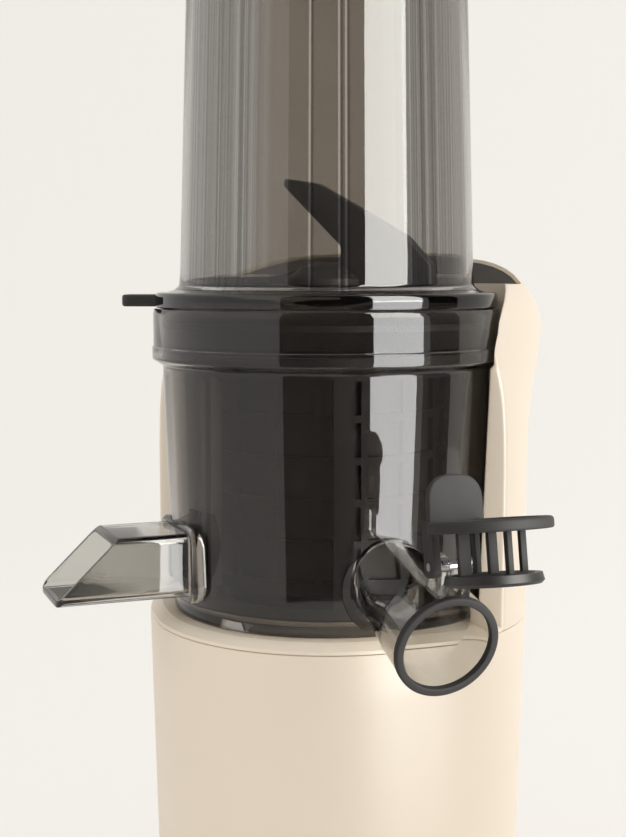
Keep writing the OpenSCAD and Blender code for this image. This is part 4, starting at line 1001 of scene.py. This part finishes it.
def addSoftbox(name, box):
    # azimuths are round the bowl from the front, in degrees, positive to the right
    middle = math.radians(sum(box["azimuths"]) / 2)
    spread = math.radians(box["azimuths"][1] - box["azimuths"][0]) / 2
    low, high = box["heights"]
    direction = Vector((math.sin(middle), -math.cos(middle), 0))
    lamp = bpy.data.lights.new(name, "AREA")
    lamp.shape = "RECTANGLE"
    lamp.size = 2 * box["distance"] * math.tan(spread)
    lamp.size_y = high - low
    lamp.energy = box["radiance"] * math.pi * lamp.size * lamp.size_y
    lamp.color = linearColour(box["colour"])[:3]
    obj = bpy.data.objects.new(name, lamp)
    obj.location = bowlAxis + direction * box["distance"] + Vector((0, 0, (low + high) / 2))
    obj.rotation_euler = (-direction).to_track_quat("-Z", "Y").to_euler()
    obj.visible_camera = False
    obj.visible_diffuse = "diffuse" in box["shines"]
    obj.visible_glossy = "glossy" in box["shines"]
    obj.visible_transmission = False
    bpy.context.scene.collection.objects.link(obj)


def addFlag(name, azimuths):
    # a curved black card that only polished surfaces see, as a photographer darkens a bottle's front
    f = flags
    points = []
    for k in range(f["steps"] + 1):
        a = math.radians(azimuths[0] + (azimuths[1] - azimuths[0]) * k / f["steps"])
        points += [(bowlAxis.x + math.sin(a) * f["distance"], bowlAxis.y - math.cos(a) * f["distance"], z)
                   for z in f["heights"]]
    faces = [(2 * k, 2 * k + 2, 2 * k + 3, 2 * k + 1) for k in range(f["steps"])]
    card = addPlainMesh(name, points, faces, flagCloth)
    card.visible_camera = card.visible_diffuse = card.visible_shadow = False
    card.visible_transmission = card.visible_volume_scatter = False


def makeWorld():
    world = bpy.data.worlds.new("studioWorld")
    bpy.context.scene.world = world
    world.use_nodes = True
    tree = world.node_tree
    tree.nodes.clear()
    sky = addNode(tree, "ShaderNodeBackground",
                  {"Color": linearColour(studio["sky"]), "Strength": studio["skyStrength"]})
    addNode(tree, "ShaderNodeOutputWorld", None, {"Surface": sky.outputs["Background"]})


makeSweep()
makeWorld()
softboxes = {
    "windowLow": {"azimuths": (51, 83), "heights": (0.005, 0.34), "distance": 0.45, "radiance": 9.5,
                  "colour": "#FFFFFF", "shines": ("glossy",)},
    "windowHigh": {"azimuths": (51, 86), "heights": (0.34, 1.6), "distance": 1.0, "radiance": 13,
                   "colour": "#FFFDF6", "shines": ("glossy",)},
    "keyRight": {"azimuths": (105, 155), "heights": (0.1, 1.4), "distance": 1.4, "radiance": 1.8,
                 "colour": "#FFFFFF", "shines": ("diffuse",)}}
flags = {"azimuths": {"cameraFlag": (-4, 51), "sideFlag": (88, 112)}, "distance": 0.5,
         "heights": (0.002, 2.0), "steps": 24}
for boxName, box in softboxes.items():
    addSoftbox(boxName, box)
for flagName, azimuths in flags["azimuths"].items():
    addFlag(flagName, azimuths)

# camera, placed from the bowl's axis, with its angles in degrees
lens = {"azimuth": 23.5, "distance": 596, "height": 324.3, "down": 5.8, "yaw": 0.55, "focal": 60.2,
        "sensor": 36, "near": 0.01}


def makeCamera():
    a = math.radians(lens["azimuth"])
    data = bpy.data.cameras.new("photoCamera")
    data.sensor_fit = "VERTICAL"
    data.sensor_height = lens["sensor"]
    data.lens = lens["focal"]
    data.clip_start = lens["near"]
    obj = bpy.data.objects.new("photoCamera", data)
    obj.location = bowlAxis + Vector((math.sin(a) * lens["distance"], -math.cos(a) * lens["distance"],
                                      lens["height"])) * millimetre
    turnLeft = math.radians(lens["azimuth"] + lens["yaw"])
    obj.rotation_euler = (math.radians(90 - lens["down"]), 0, turnLeft)
    bpy.context.scene.collection.objects.link(obj)
    bpy.context.scene.camera = obj


makeCamera()
bpy.context.scene.view_settings.view_transform = "Standard"
print("studio made")
